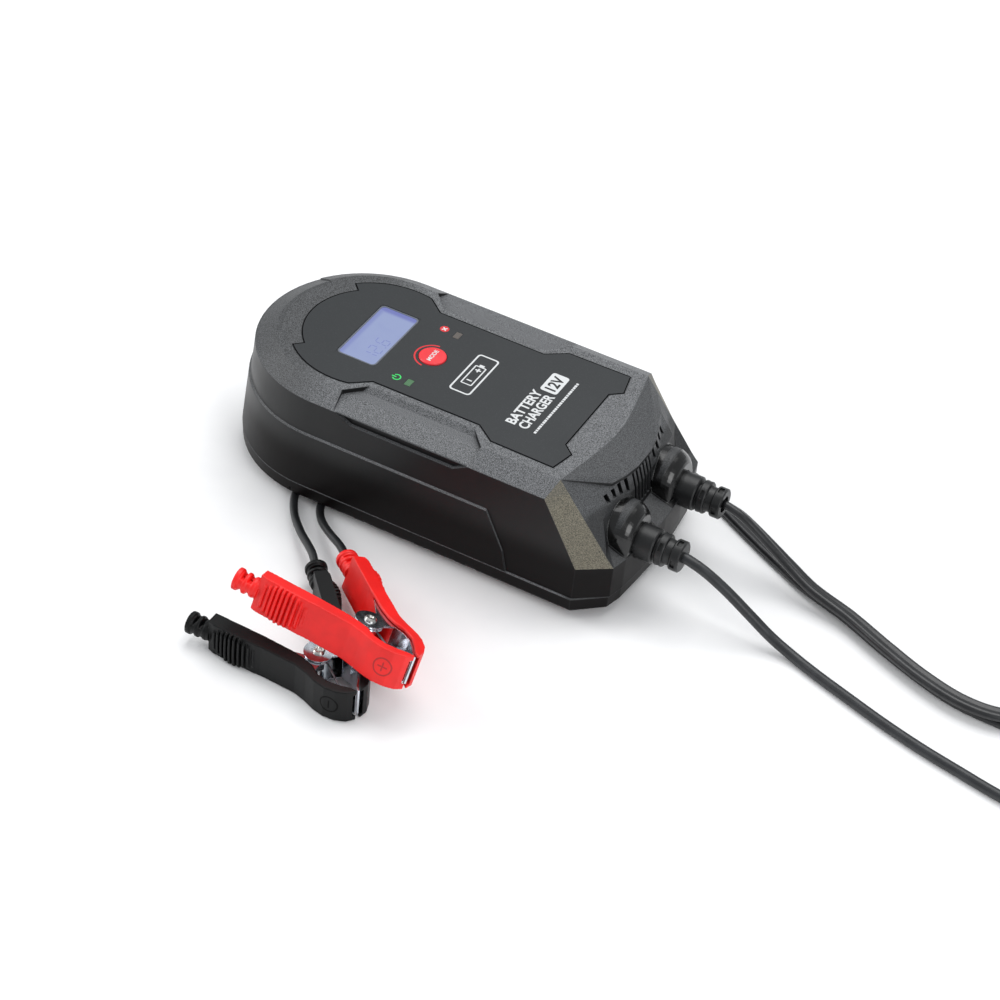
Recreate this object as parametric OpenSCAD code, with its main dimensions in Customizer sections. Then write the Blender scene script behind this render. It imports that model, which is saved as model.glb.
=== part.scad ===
// Smart car battery charger: sealed two-part housing, display, mode button,
// cooling fan, mains cord with plug and output cord with two battery clamps.
// Millimetres, +Z up, origin on the floor under the middle of the housing.
// The cable end looks along +X and the round end along -X.

/* [Housing] */
// Length from the round end to the faces of the cable bosses
body_len = 275; // [230:1:340]
// Width at the base
body_w = 140.2; // [117:0.2:170]
// Height of the top plane above the floor
body_h = 85; // [72:1:104]
// Wall of both covers
wall = 2.6; // [2:0.1:3.2]
// Height of the feet
foot_h = 6; // [6:0.5:9]
// Height of the joint between the two covers
part_z = 15.7; // [14:0.1:18]
// How far the lower side panel stands proud
panel_proud = 1.1; // [0.4:0.1:1.6]

/* [Display and button] */
// Length of the display window along the housing
lcd_x = 26.4; // [22:0.2:30]
// Width of the display window across the housing
lcd_y = 54.4; // [44:0.2:60]
// Thickness of the overlay
overlay_t = 0.5; // [0.3:0.1:0.8]
// Diameter of the mode button
button_d = 16.5; // [12:0.1:19]
// Travel of the mode button
button_travel = 0.8; // [0.4:0.1:1]
// Running gap of the button in its hole
button_gap = 0.35; // [0.25:0.05:0.5]

/* [Cooling fan] */
// Side of the fan frame
fan_size = 38; // [30:1:42]
// Diameter of the fan's shaft
fan_shaft_d = 2; // [1.5:0.1:3]
// Running gap around the shaft
shaft_gap = 0.04; // [0.02:0.01:0.08]

/* [Cords] */
// Diameter of the mains cord
mains_d = 6.4; // [5.5:0.1:7]
// Diameter of each strand of the output cord
strand_d = 5; // [4:0.1:5.4]
// Distance of the cables from the middle line
gland_y = 27.4; // [24:0.1:30]
// Height of the cables where they leave
gland_z = 39.5; // [36:0.5:44]
// Diameter of the strain relief's sleeve
gland_d = 21; // [17:0.5:22]

/* [Clamps] */
// Half of a clamp's thickness
clamp_half = 11; // [9:0.5:12]
// Wall of the handles
handle_wall = 1.9; // [1.6:0.1:2.4]
// Diameter of the rivet
rivet_d = 4; // [3:0.1:5]
// Running gap around the rivet
rivet_gap = 0.06; // [0.03:0.01:0.09]
// Thickness of the jaw steel
jaw_t = 1; // [0.8:0.1:1.2]

/* [Hidden] */
$fn = 48;

// levels and edges of the housing
hw = body_w / 2;
xe = body_len / 2;
z_skirt = part_z + 21.8;
z_bevel = body_h - 7.2;
z_lip = body_h - 11;
z_ridge = z_skirt + (z_bevel - z_skirt) * 0.42;
y_top = hw - 14.4;
y_bevel = hw - 2.3;
y_end = hw - 14.4;
seat = 0.3;

// top plane details
y_label = hw - 20.7;
y_wing = hw - 26.1;
wing_x = [-37, 31];
wing_out = [-49, 42];
groove_x = [-46.6, 40.4];
groove_h = 5.4;
lcd_c = [-57.6, 0];
button_c = [-21, 0];
light_c = [[-18.8, 25.8], [-20.4, -28.7]];
frame_c = [7.4, -1];
block_c = [50.4, 18];
overlay_z = body_h - 0.3;
roof_z = body_h - wall - 0.7;
board_z = body_h - 13;
switch_h = 3.2;

// main board
pcb_z = 18;
pcb_t = 1.6;
pcb_x = [51.5 - xe, xe - 37.5];
pcb_y = hw - 24.1;
post_xy = [[-84, hw - 17], [82, hw - 16]];
standoff_xy = [[-76, pcb_y - 7], [76, pcb_y - 7]];
foot_xy = [[-100, 26], [96, 44]];

function mid(a, b, t) = a + (b - a) * t;
function lift(z, a, b) = (z - a) / (b - a);
function arc_pts(c, r, a0, a1, n) =
    [for (i = [0:n]) let (a = mid(a0, a1, i / n)) [c[0] + r * cos(a), c[1] + r * sin(a)]];
function mirror_y(p) = [for (i = [len(p) - 2:-1:1]) [p[i][0], -p[i][1]]];

// closed outline at one level: half goes from the round end to the cable end at y < 0
function outline(half) = concat(half, mirror_y(half));
function at_z(p, z) = [for (q = p) [q[0], q[1], z]];

// solid through outlines that have the same number of points, bottom to top
module loft(layers) {
    n = len(layers[0]);
    m = len(layers);
    pts = [for (l = layers) each l];
    sides = [for (j = [0:m - 2], i = [0:n - 1]) let (a = j * n + i, b = j * n + (i + 1) % n)
        each [[a, a + n, b + n], [a, b + n, b]]];
    polyhedron(faces = concat([[for (i = [0:n - 1]) i]], sides,
        [[for (i = [n - 1:-1:0]) (m - 1) * n + i]]), points = pts);
}

// the half outline: round end radius w about its own centre, side, facet, end curve
function half_plan(w, x_min, sx, ex, ey, v, n) = concat(
    arc_pts([x_min + w, 0], w, 180, 270, n),
    [[sx, -w], [ex, -ey], [v[0], -hw * 0.642], [v[1], -hw * 0.357], [v[2], -hw * 0.15], [v[3], 0]]);

// half width, facet edges and end curve as they change with height
function w_at(z) = z <= z_bevel ? mid(hw - 1, y_bevel, lift(z, part_z, z_bevel))
    : mid(y_bevel, y_top, lift(z, z_bevel, body_h));
function xmin_at(z) = z <= z_bevel ? mid(-xe + 1, -xe + 6.9, lift(z, part_z, z_bevel))
    : mid(-xe + 6.9, -xe + 19, lift(z, z_bevel, body_h));
function sx_at(z) = z <= z_skirt ? xe - 23.8
    : z <= z_bevel ? mid(xe - 23.8, xe - 48, lift(z, z_skirt, z_bevel))
    : mid(xe - 48, xe - 45.4, lift(z, z_bevel, body_h));
function ex_at(z) = z <= z_skirt ? xe - 6 : mid(xe - 6.6, xe - 44.8, lift(z, z_skirt, body_h));
skirt_v = [xe - 3.4, xe - 1.2, xe - 0.4, xe];
shelf_v = [xe - 15.6, xe - 15.4, xe - 15.2, xe - 15];
wall_v = [xe - 20.5, xe - 18.4, xe - 17.4, xe - 17];
lip_v = [xe - 29.5, xe - 23.8, xe - 21.4, xe - 21];
brow_v = [xe - 43, xe - 39.8, xe - 37, xe - 36.5];
levels = [[part_z, skirt_v], [z_skirt, skirt_v], [z_skirt + 5.5, shelf_v],
    [z_ridge + 5, wall_v], [z_lip - 2.2, lip_v], [z_bevel, mid(lip_v, brow_v, 0.44)],
    [body_h, brow_v]];

function shell_layer(z, v, t) = at_z(outline(half_plan(w_at(z) - t, xmin_at(z) + t,
    sx_at(z) - t * 0.45, ex_at(z) - t, y_end - t * 0.45, v - [t, t, t, t], 18)), z);
function hollow_layer(z, v, t, at) = at_z(outline(half_plan(w_at(z) - t, xmin_at(z) + t,
    min(sx_at(z) - t * 0.45, ex_at(z) - t - 0.5), ex_at(z) - t, min(y_end - t * 0.45, w_at(z) - t),
    v - [t, t, t, t], 12)), at);

module top_body() {
    loft([for (l = levels) shell_layer(l[0], l[1], 0)]);
}

// the lower side panel: proud of the wall, with its slanted end toward the cables
module side_panel() {
    intersection() {
        loft([for (z = [part_z, z_skirt, z_ridge - 1, z_ridge + 0.4])
            let (g = z > z_ridge ? 0.4 : -panel_proud)
            at_z(outline(concat(arc_pts([xmin_at(z) + w_at(z), 0], w_at(z) - g, 180, 270, 20),
                [[xe - 60, -w_at(z) + g]])), z)]);
        rotate([90, 0, 0])
            linear_extrude(body_w + 20, center = true)
                polygon([[-xe - 9, part_z], [xe - 66, part_z], [xe - 69.5, z_skirt - 8],
                    [xe - 83, z_ridge + 1], [-xe - 9, z_ridge + 1]]);
    }
}

// sloping brow over the grille
module visor() {
    arc_top = [[xe - 44.8, y_end], [xe - 41.8, y_end * 0.65], [xe - 38.7, y_end * 0.41],
        [xe - 36.6, y_end * 0.14]];
    arc_lip = [[xe - 24.1, y_end * 0.545], [xe - 20.6, y_end * 0.36], [xe - 18.4, y_end * 0.15]];
    hull() {
        translate([0, 0, body_h - 0.5])
            linear_extrude(0.5)
                polygon(concat([[xe - 56, y_end], [xe - 56, -y_end]],
                    [for (p = arc_top) [p[0], -p[1]]], [for (i = [3:-1:0]) arc_top[i]]));
        translate([0, 0, z_lip - 2.2])
            linear_extrude(2.2)
                polygon(concat([[xe - 44, y_end * 0.6], [xe - 44, -y_end * 0.6]],
                    [for (p = arc_lip) [p[0], -p[1]]], [for (i = [2:-1:0]) arc_lip[i]]));
    }
}

// domed boss round a cable: rounded front, dome behind, foot on the shelf
module cable_boss(s) {
    rounds = [[0, 13.2], [0.8, 14.4], [2.2, 15.6], [4.4, 16.6], [7.4, 17.2]];
    hull() {
        for (d = rounds)
            translate([xe - 4 - d[0], s * gland_y, gland_z + 2.6 + d[0] * 0.3])
                rotate([0, 90, 0])
                    cylinder(h = 0.6, r = d[1]);
        translate([xe - 18, s * gland_y, gland_z + 5.6])
            scale([14, 17.4, 16])
                sphere(r = 1);
        translate([xe - 21, s * gland_y - 17, z_skirt - 3])
            cube([17, 34, 2]);
    }
}

// cuts that make the narrower top with its ledges, and the grip grooves
module wing_cuts() {
    for (s = [-1, 1])
        scale([1, s, 1]) {
            intersection() {
                rotate([90, 0, 90])
                    linear_extrude(2 * xe, center = true)
                        polygon([[y_wing, body_h + 1], [y_wing, body_h], [y_wing + 2.9, body_h - 3],
                            [y_wing + 10, body_h - 3], [y_bevel, z_bevel], [hw + 5, z_bevel],
                            [hw + 5, body_h + 1]]);
                linear_extrude(body_h + 5)
                    polygon([[wing_x[0], y_wing - 0.5], [wing_x[1], y_wing - 0.5],
                        [wing_out[1], y_top], [groove_x[1], hw + 4], [groove_x[0], hw + 4],
                        [wing_out[0], y_top]]);
            }
            translate([0, y_bevel - 2.2, 0])
                rotate([-90, 0, 0])
                    linear_extrude(12)
                        polygon([[groove_x[0], -z_bevel], [groove_x[1], -z_bevel],
                            [wing_x[1], groove_h - z_bevel], [wing_x[0] + 1, groove_h - z_bevel]]);
        }
}

// shallow recessed bevel panel between the two slits of the round end
module end_panel_cut() {
    translate([-xe + 19 + y_top, 0, 0])
        rotate([0, 0, 147])
            rotate_extrude(angle = 66, $fn = 96)
                polygon([[y_top - 3, body_h + 1], [y_top - 3, body_h - 0.5], [y_top - 0.3, body_h - 0.8],
                    [y_bevel - 0.4, z_bevel - 0.8], [y_bevel + 9, z_bevel - 0.8],
                    [y_bevel + 9, body_h + 1]]);
}

// overlay outline, g inside the pocket: inner end arc, jog, outer arc, wing, end cut-in
module label_plan(g) {
    jog = 225.3 + g * 1.2;
    half = concat(arc_pts([-60, 0], y_label - 6.1 - g, 180, jog, 8),
        arc_pts([-60, 0], y_label + 0.9 - g, jog, 282.6, 10),
        [[-38.1, -(y_label - 9.4) + g], [31.8, -(y_label - 9.7) + g], [44, -(y_label - 0.6) + g],
            [xe - 52.7 - g, -y_label + g], [xe - 49.1 - g, -(y_label - 16.4)],
            [xe - 55.9 - g, -(y_label - 22.4)], [xe - 55.9 - g, 0]]);
    polygon(outline(half));
}

// tall slots between the bosses, short ones above them
module vent_cuts() {
    short = [9.5, 7.2, 5.6, 5];
    for (y = [-10:4:10])
        translate([xe - 34, y - 1, z_skirt + 8.5])
            cube([26, 2, z_lip - 5 - z_skirt - 8.5]);
    for (s = [-1, 1], k = [0:3])
        translate([xe - 40, s * (hw * 0.25 + k * 6.2) - 1.5, z_lip - 3.4 - k * 0.5 - short[k]])
            cube([32, 3, short[k]]);
}

module top_posts() {
    for (p = post_xy, s = [-1, 1])
        translate([p[0], s * p[1], part_z])
            difference() {
                cylinder(h = body_h - 4.5 - part_z, r = 4);
                translate([0, 0, -1])
                    cylinder(h = 16, r = 1.45);
            }
    for (p = board_posts)
        translate([p[0], p[1], board_z + pcb_t])
            difference() {
                cylinder(h = body_h - wall - board_z - pcb_t + 0.5, r = 3);
                translate([0, 0, -1])
                    cylinder(h = 8, r = 1.05);
            }
}
board_posts = [[-80, -26], [-80, 26], [4, -33], [4, 33]];

module gland_hole(s, r, x0, x1) {
    translate([x0, s * gland_y, gland_z])
        rotate([0, 90, 0])
            cylinder(h = x1 - x0, r = r);
}

// Inner space of the top cover
module top_hollow() {
    t = wall;
    loft([hollow_layer(part_z, skirt_v, t, part_z - 1), hollow_layer(z_skirt, skirt_v, t, z_skirt - t),
        hollow_layer(z_skirt + 5.5, shelf_v, t, z_skirt + 5.5 - t),
        hollow_layer(z_ridge + 5, wall_v, t, z_ridge + 5),
        hollow_layer(z_lip - 2.2, lip_v, t + 1, z_lip - 4),
        hollow_layer(z_bevel, mid(lip_v, brow_v, 0.44), t + 4, z_bevel - 1.5),
        hollow_layer(body_h, brow_v, t + 1.4, roof_z)]);
}

module top_cover() {
    color("#1b1c1e")
        difference() {
            union() {
                difference() {
                    union() {
                        difference() {
                            union() {
                                top_body();
                                side_panel();
                                visor();
                            }
                            vent_cuts();
                        }
                        cable_boss(1);
                        cable_boss(-1);
                    }
                    top_hollow();
                }
                top_posts();
            }
            wing_cuts();
            end_panel_cut();
            for (s = [-1, 1]) {
                gland_hole(s, gland_d / 2 + 0.15, xe - 34, xe + 2);
                gland_hole(s, gland_d / 2 + 2.2, xe - 34, xe - 8);
            }
            translate([0, 0, overlay_z])
                linear_extrude(2)
                    label_plan(0);
            translate([lcd_c[0] - lcd_x / 2 - 0.3, -lcd_y / 2 - 0.3, body_h - 8])
                cube([lcd_x + 0.6, lcd_y + 0.6, 12]);
            translate([button_c[0], button_c[1], body_h - 8])
                cylinder(h = 12, d = button_d + 2 * button_gap);
            for (p = light_c)
                translate([p[0] - 2.3, p[1] - 3.3, body_h - 8])
                    cube([4.6, 6.6, 12]);
        }
}

module bottom_cover() {
    rim = [xe - 3.8, xe - 2.2, xe - 1.2, xe - 0.9];
    function low(z, g, at) = at_z(outline(half_plan(hw - g, -xe + g, sx_at(z), xe - 6.6 - g,
        y_end - 0.6 * g, rim - [g, g, g, g], 18)), at);
    color("#1d1e20")
        difference() {
            union() {
                difference() {
                    loft([low(6, 1.4, foot_h), low(6, 0.4, foot_h + 1.4),
                        low(6, 0, part_z - 0.7), low(6, 0.7, part_z)]);
                    loft([low(6, wall, foot_h + wall), low(6, wall, part_z + 1)]);
                }
                for (p = standoff_xy, s = [-1, 1])
                    translate([p[0], s * p[1], foot_h + wall - 0.5])
                        cylinder(h = pcb_z - foot_h - wall + 0.5, r = 3.6);
                for (p = post_xy, s = [-1, 1])
                    translate([p[0], s * p[1], foot_h + wall - 0.5])
                        cylinder(h = part_z - foot_h - wall + 0.5, r = 4.6);
            }
            for (p = standoff_xy, s = [-1, 1])
                translate([p[0], s * p[1], foot_h + 3.5])
                    cylinder(h = 20, r = 1.25);
            for (p = post_xy, s = [-1, 1])
                translate([p[0], s * p[1], foot_h - 1]) {
                    cylinder(h = 20, r = 2.1);
                    cylinder(h = 4.6, r = 3.9);
                }
            for (p = foot_xy, s = [-1, 1])
                translate([p[0], s * p[1], foot_h - 1])
                    cylinder(h = 2.2, r = 6.1);
            for (k = [0:6], s = [-1, 1])
                translate([-36.4 + k * 13.7, s * (hw + 0.2) - 2, foot_h - 1])
                    cube([6.8, 4, 3.2]);
            for (s = [-1, 1])
                translate([-73, s * hw, foot_h])
                    cube([1.6, 3, 8], center = true);
        }
}

module rubber_feet() {
    color("#141414")
        for (p = foot_xy, s = [-1, 1])
            translate([p[0], s * p[1], 0])
                rotate_extrude()
                    polygon([[0, 0], [6.2, 0], [7, 0.8], [7, foot_h - seat], [6, foot_h - seat],
                        [6, foot_h + 1.2], [0, foot_h + 1.2]]);
}

module screw(head_r, head_h, r, h) {
    difference() {
        union() {
            cylinder(h = head_h, r = head_r);
            cylinder(h = h, r = r);
        }
        translate([0, 0, -1])
            cylinder(h = 1 + head_h * 0.6, r = head_r * 0.45, $fn = 6);
    }
}

module cover_screws() {
    color("#8a8c90")
        for (p = post_xy, s = [-1, 1])
            translate([p[0], s * p[1], foot_h + 1])
                screw(3.5, 2.6, 1.45, 22);
}

module board_screws() {
    color("#b9bbbf")
        for (p = standoff_xy, s = [-1, 1])
            translate([p[0], s * p[1], pcb_z + pcb_t + 2])
                rotate([180, 0, 0])
                    screw(2.6, 2, 1.25, 9);
}

module display_screws() {
    color("#b9bbbf")
        for (p = board_posts)
            translate([p[0], p[1], board_z - 1.8])
                screw(2.2, 1.8, 1.05, 7);
}

module panel_overlay() {
    color("#232425")
        translate([0, 0, overlay_z])
            linear_extrude(overlay_t)
                difference() {
                    label_plan(0.35);
                    translate([lcd_c[0] - lcd_x / 2, -lcd_y / 2])
                        square([lcd_x, lcd_y]);
                    translate(button_c)
                        circle(d = button_d + 2 * button_gap);
                    for (p = light_c)
                        translate([p[0] - 2.1, p[1] - 3.1])
                            square([4.2, 6.2]);
                }
}

module rounded_plate(size, r) {
    offset(r = r)
        square([size[0] - 2 * r, size[1] - 2 * r], center = true);
}

// printed marks: ring arc at the button, framed battery picture, level block and bars
module panel_prints() {
    color("#d8d9da")
        translate([0, 0, overlay_z + overlay_t])
            linear_extrude(0.05) {
                translate(button_c)
                    difference() {
                        circle(r = button_d / 2 + 2.9);
                        circle(r = button_d / 2 + 1.9);
                        translate([0, -30])
                            square([60, 60]);
                    }
                translate(frame_c)
                    difference() {
                        rounded_plate([14, 38], 2.4);
                        rounded_plate([12.2, 36.2], 1.6);
                    }
                translate(block_c)
                    rounded_plate([11, 18], 1.8);
                for (k = [0:5])
                    translate([53, -26 + k * 5])
                        square([7, 3.2], center = true);
                for (k = [2:5])
                    translate([45, -26 + k * 5])
                        square([6, 3.2], center = true);
            }
}

module lcd_window() {
    color("#6d74c8")
        translate([lcd_c[0], 0, body_h - 2.6])
            linear_extrude(2.3)
                square([lcd_x - 0.2, lcd_y - 0.2], center = true);
}

module lcd_module() {
    color("#9fa3ab")
        translate([lcd_c[0] - lcd_x / 2, -lcd_y / 2, board_z + pcb_t])
            cube([lcd_x, lcd_y, body_h - 2.6 - board_z - pcb_t]);
}

// its stem ends above the switch by the travel and a little more
module mode_button() {
    stem_z = board_z + pcb_t + switch_h + button_travel + 0.2;
    color("#c3262b")
        translate([button_c[0], button_c[1], 0])
            rotate_extrude()
                polygon([[0, stem_z], [1.8, stem_z], [1.8, roof_z - seat - 2],
                    [button_d / 2 + 1.4, roof_z - seat - 2], [button_d / 2 + 1.4, roof_z - seat],
                    [button_d / 2, roof_z - seat],
                    [button_d / 2, body_h + 0.6], [button_d / 2 - 0.6, body_h + 1.1],
                    [0, body_h + 1.4]]);
}

module tact_switch() {
    color("#2a2a2a")
        translate([button_c[0], button_c[1], board_z + pcb_t]) {
            translate([-3, -3, 0])
                cube([6, 6, 2.6]);
            cylinder(h = switch_h, r = 1.6);
        }
}

module status_lights() {
    color("#3a4a3c")
        for (p = light_c)
            translate([p[0] - 1.95, p[1] - 2.95, board_z + pcb_t])
                cube([3.9, 5.9, body_h + 0.2 - board_z - pcb_t]);
}

module display_board() {
    color("#1f5a34")
        difference() {
            translate([-84, -37, board_z])
                cube([92, 74, pcb_t]);
            for (p = board_posts)
                translate([p[0], p[1], board_z - 1])
                    cylinder(h = 4, r = 1.2);
        }
}

module main_board() {
    color("#1f5a34")
        difference() {
            translate([pcb_x[0], -pcb_y + 2, pcb_z])
                cube([pcb_x[1] - pcb_x[0], 2 * pcb_y - 4, pcb_t]);
            for (p = standoff_xy, s = [-1, 1])
                translate([p[0], s * p[1], pcb_z - 1])
                    cylinder(h = 4, r = 1.35);
        }
}

top_z = pcb_z + pcb_t;

module transformer_core() {
    color("#4a4a4e")
        translate([8, -14, top_z])
            difference() {
                translate([-20, -17, 0])
                    cube([40, 34, 30]);
                translate([-13, -18, 5])
                    cube([8, 36, 20]);
                translate([5, -18, 5])
                    cube([8, 36, 20]);
            }
}

module transformer_winding() {
    color("#c8a23a")
        translate([8, -14, top_z + 5.2])
            linear_extrude(19.6)
                difference() {
                    offset(r = 7.6)
                        square([10, 34], center = true);
                    square([10.4, 34.4], center = true);
                }
}

module capacitors() {
    color("#23303f")
        for (p = [[-52, -20, 11, 34], [-52, 16, 11, 34], [-30, 26, 6, 20], [52, -28, 8, 26]])
            translate([p[0], p[1], top_z])
                rotate_extrude()
                    polygon([[0, 0], [p[2], 0], [p[2], p[3] - 1], [p[2] - 1, p[3]], [0, p[3]]]);
}

module heat_sink() {
    color("#a9acb0")
        translate([0, 26, top_z]) {
            translate([-8, 0, 0])
                cube([64, 4, 38]);
            for (k = [0:7])
                translate([-8 + k * 8.8, 0, 0])
                    cube([2, 14, 38]);
        }
}

module terminals() {
    terminal_y = min(gland_y, pcb_y - 17);
    color("#2f7d46")
        for (s = [-1, 1])
            translate([76, s * terminal_y - 7, top_z])
                difference() {
                    cube([13, 14, 14]);
                    for (k = [-1, 1])
                        translate([6.5, 7 + k * 3.4, 8])
                            cylinder(h = 8, r = 2.2);
                    translate([8, -1, 5])
                        cube([6, 3, 4]);
                }
}

fan_x = xe - 30.5;
fan_z = top_z + fan_size / 2;

module fan_frame() {
    color("#26272a")
        translate([fan_x - 9, 0, fan_z])
            rotate([0, 90, 0])
                difference() {
                    translate([-fan_size / 2, -fan_size / 2, 0])
                        cube([fan_size, fan_size, 9]);
                    difference() {
                        translate([0, 0, -1])
                            cylinder(h = 11, r = fan_size / 2 - 1.6);
                        cylinder(h = 1.6, r = 6.5);
                        for (a = [45:90:315])
                            rotate([0, 0, a])
                                translate([0, -1, 0])
                                    cube([fan_size / 2, 2, 1.6]);
                    }
                    translate([0, 0, -1])
                        cylinder(h = 4, r = fan_shaft_d / 2 + shaft_gap);
                }
}

module fan_rotor() {
    color("#33353a")
        translate([fan_x - 9, 0, fan_z])
            rotate([0, 90, 0]) {
                cylinder(h = 3, r = fan_shaft_d / 2);
                translate([0, 0, 2])
                    cylinder(h = 6.4, r = 6.5);
                for (k = [0:6])
                    rotate([0, 0, k * 360 / 7])
                        translate([6, 0, 5.2])
                            rotate([32, 0, 0])
                                translate([0, -3.4, -0.5])
                                    cube([fan_size / 2 - 9, 6.8, 1]);
            }
}

// strain relief: sleeve in the boss, grooves, flange, neck and ring round the cord
module relief(s, bore) {
    r = gland_d / 2;
    color("#151515")
        translate([xe - 6, s * gland_y, gland_z])
            rotate([0, 90, 0])
                difference() {
                    rotate_extrude()
                        polygon([[bore, 0], [r, 0], [r, 13], [r - 0.8, 13.8], [7.4, 13.8], [7.4, 15.4],
                            [9.5, 15.4], [9.9, 15.9], [9.9, 19.6], [9.4, 20.2], [7.9, 20.2],
                            [7.5, 24.2], [8.9, 24.2], [9.4, 24.8], [9.4, 29.6], [8.6, 30.2],
                            [bore, 30.2]]);
                    for (a = [0:90:270])
                        rotate([0, 0, a]) {
                            translate([8, -2.4, 25.6])
                                cube([3, 4.8, 2.8]);
                            rotate([0, 0, 45])
                                translate([8.2, -2.4, 16.8])
                                    cube([3, 4.8, 2]);
                        }
                }
}

module mains_relief() {
    relief(-1, mains_d / 2 + 0.1);
}

module output_relief() {
    relief(1, strand_d + 0.15);
}

// ---- cords ----
function unit(v) = v / norm(v);
function tangent(p, i) = unit(p[min(i + 1, len(p) - 1)] - p[max(i - 1, 0)]);

// tube along points with a section given as [side, up] points
module sweep(p, section) {
    n = len(section);
    m = len(p);
    pts = [for (i = [0:m - 1]) let (t = tangent(p, i), s = unit([-t[1], t[0], 0]), u = cross(t, s))
        each [for (q = section) p[i] + s * q[0] + u * q[1]]];
    sides = [for (j = [0:m - 2], i = [0:n - 1]) let (a = j * n + i, b = j * n + (i + 1) % n)
        each [[a, b, b + n], [a, b + n, a + n]]];
    polyhedron(faces = concat([[for (i = [n - 1:-1:0]) i]], sides,
        [[for (i = [0:n - 1]) (m - 1) * n + i]]), points = pts);
}
function round_section(r, n) = [for (i = [0:n - 1]) r * [cos(i * 360 / n), sin(i * 360 / n)]];
function twin_section(r) = [[1.96 * r, 0], [1.62 * r, 0.76 * r], [r, r], [0.36 * r, 0.8 * r],
    [-0.36 * r, 0.8 * r], [-r, r], [-1.62 * r, 0.76 * r], [-1.96 * r, 0], [-1.62 * r, -0.76 * r],
    [-r, -r], [r, -r], [1.62 * r, -0.76 * r]];
function flat_section(r) = [[1.9 * r, 0], [1.2 * r, r], [-1.2 * r, r], [-1.9 * r, 0],
    [-1.2 * r, -r], [1.2 * r, -r]];

// coil in two layers: in along the lower layer, out along the upper one
function coil_pts(c, r_in, pitch, turns, rise, z0, a0, dir, ramp) =
    let (n = turns * 24, half = n / 2)
    [for (i = [0:n])
        let (f = abs(i / half - 1), lay = min(1, max(0, (i - half + ramp) / ramp / 2)),
            r = r_in + pitch * turns / 2 * f, a = a0 + dir * i * 15)
        [c[0] + r * cos(a), c[1] + r * sin(a), z0 + rise * (3 - 2 * lay) * lay * lay]];

// least free distance of a coil to itself: skip leaves out the near points
function round_gap(p, skip, d) = min([for (i = [0:len(p) - 1 - skip], j = [i + skip:len(p) - 1])
    norm(p[i] - p[j])]) - d;
function flat_gap(p, skip, w, h) = min([for (i = [0:len(p) - 1 - skip], j = [i + skip:len(p) - 1])
    let (q = p[i] - p[j]) max(norm([q[0], q[1]]) - w, abs(q[2]) - h)]);

// where the clamps lie: rivet, and turns about X and Z
red_at = [38.1, -171.4, 31.4];
red_turn = [-19.8, 0, -20.3];
black_at = [18.7, -187.5, clamp_half + 0.4];
black_turn = [0, 0, -24.5];
lever_turn = 24;
tail_v = -12;
function spin(a, p) = [p[0] * cos(a) - p[1] * sin(a), p[0] * sin(a) + p[1] * cos(a), p[2]];
function tail_pt(at, turn, u) = let (q = spin(lever_turn, [u, tail_v, 0]))
    at + spin(turn[2], [q[0], -q[1] * cos(turn[0]), -q[1] * sin(turn[0])]);
tail_us = [-89, -77, -64, -50];

mains_route = [[92, -27.4, 36.5], [104, -27.4, 39.5], [130, -27.4, 39.5], [158, -27.4, 39.5],
    [163.5, -27.4, 39.5], [175, -27.5, 36.2], [189.8, -27.4, 28.6], [205.7, -27.4, 18.4], [221.7, -28, 8.8],
    [238.3, -30.8, 4], [255, -36.3, 3.3], [277.7, -43.6, 3.3], [300, -50.5, 3.3],
    [325, -57, 3.3], [350, -62, 3.3], [375, -66.6, 3.3], [400, -69, 3.3],
    [426, -68.56, 3.3], [445.695, -65.077, 3.3]];
mains_end = [[462, -63.1, 10.5], [472, -63, 9.2], [481, -63, 7.3], [494, -63, 7.3]];
mains_ring = concat([[445.695, -65.077, 3.3]], coil_pts([456, -112], 27, 7, 6, 7.2, 3.3, 100, -1, 7), mains_end);
output_route = [[92, 27.4, 36.5], [104, 27.4, 39.5], [130, 27.4, 39.5], [158, 27.4, 39.5],
    [163.5, 27.4, 39.5], [173.5, 27.4, 36.6], [183, 27.2, 31.4], [194.3, 26.4, 24.8], [208, 24, 18.2], [226, 19.4, 12],
    [252.5, 13.5, 8.6], [280, 1.5, 8.4], [308, -9.5, 8.4], [335, -15.5, 8.5], [358, -12.5, 8.5],
    [375, 2, 7.2], [383.6, 19, 4.4], [386.325, 34, 2.8], [386.325, 44, 2.8]];
output_ring = concat([[386.325, 44, 2.8]],
    coil_pts([444, 46], 42, 11.4, 2.75, 7, 2.8, 180, -1, 5), [[442, -11.675, 9.8]]);
return_route = [[442, -11.675, 9.8], [430, -11.675, 9.8], [414, -11.8, 7.2], [396, -11.6, 4], [372, -12, 2.8],
    [350, -12.2, 2.7], [328, -10.6, 2.7], [305, -4, 2.7], [277, 6.9, 2.7], [249.6, 19, 2.7],
    [220, 29, 2.7], [200, 38.6, 2.7], [183, 47.4, 2.7], [168, 55.6, 2.7], [152, 64.5, 2.7],
    [135, 74, 2.7], [115, 81.5, 2.7], [90, 85, 2.7], [60, 86, 2.7], [32, 86, 2.7], [12, 86, 2.7]];
red_route = concat([[-12, 83.2, 2.7], [-28, 82.6, 2.7], [-42, 76, 2.7], [-52, 62, 2.7],
    [-58, 36, 2.7], [-59, 6, 2.7], [-58, -28, 2.7], [-56.6, -52, 2.7], [-52.5, -68, 2.9],
    [-44.8, -80, 5.6], [-34, -90.5, 9.6]], [for (u = tail_us) tail_pt(red_at, red_turn, u)]);
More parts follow.
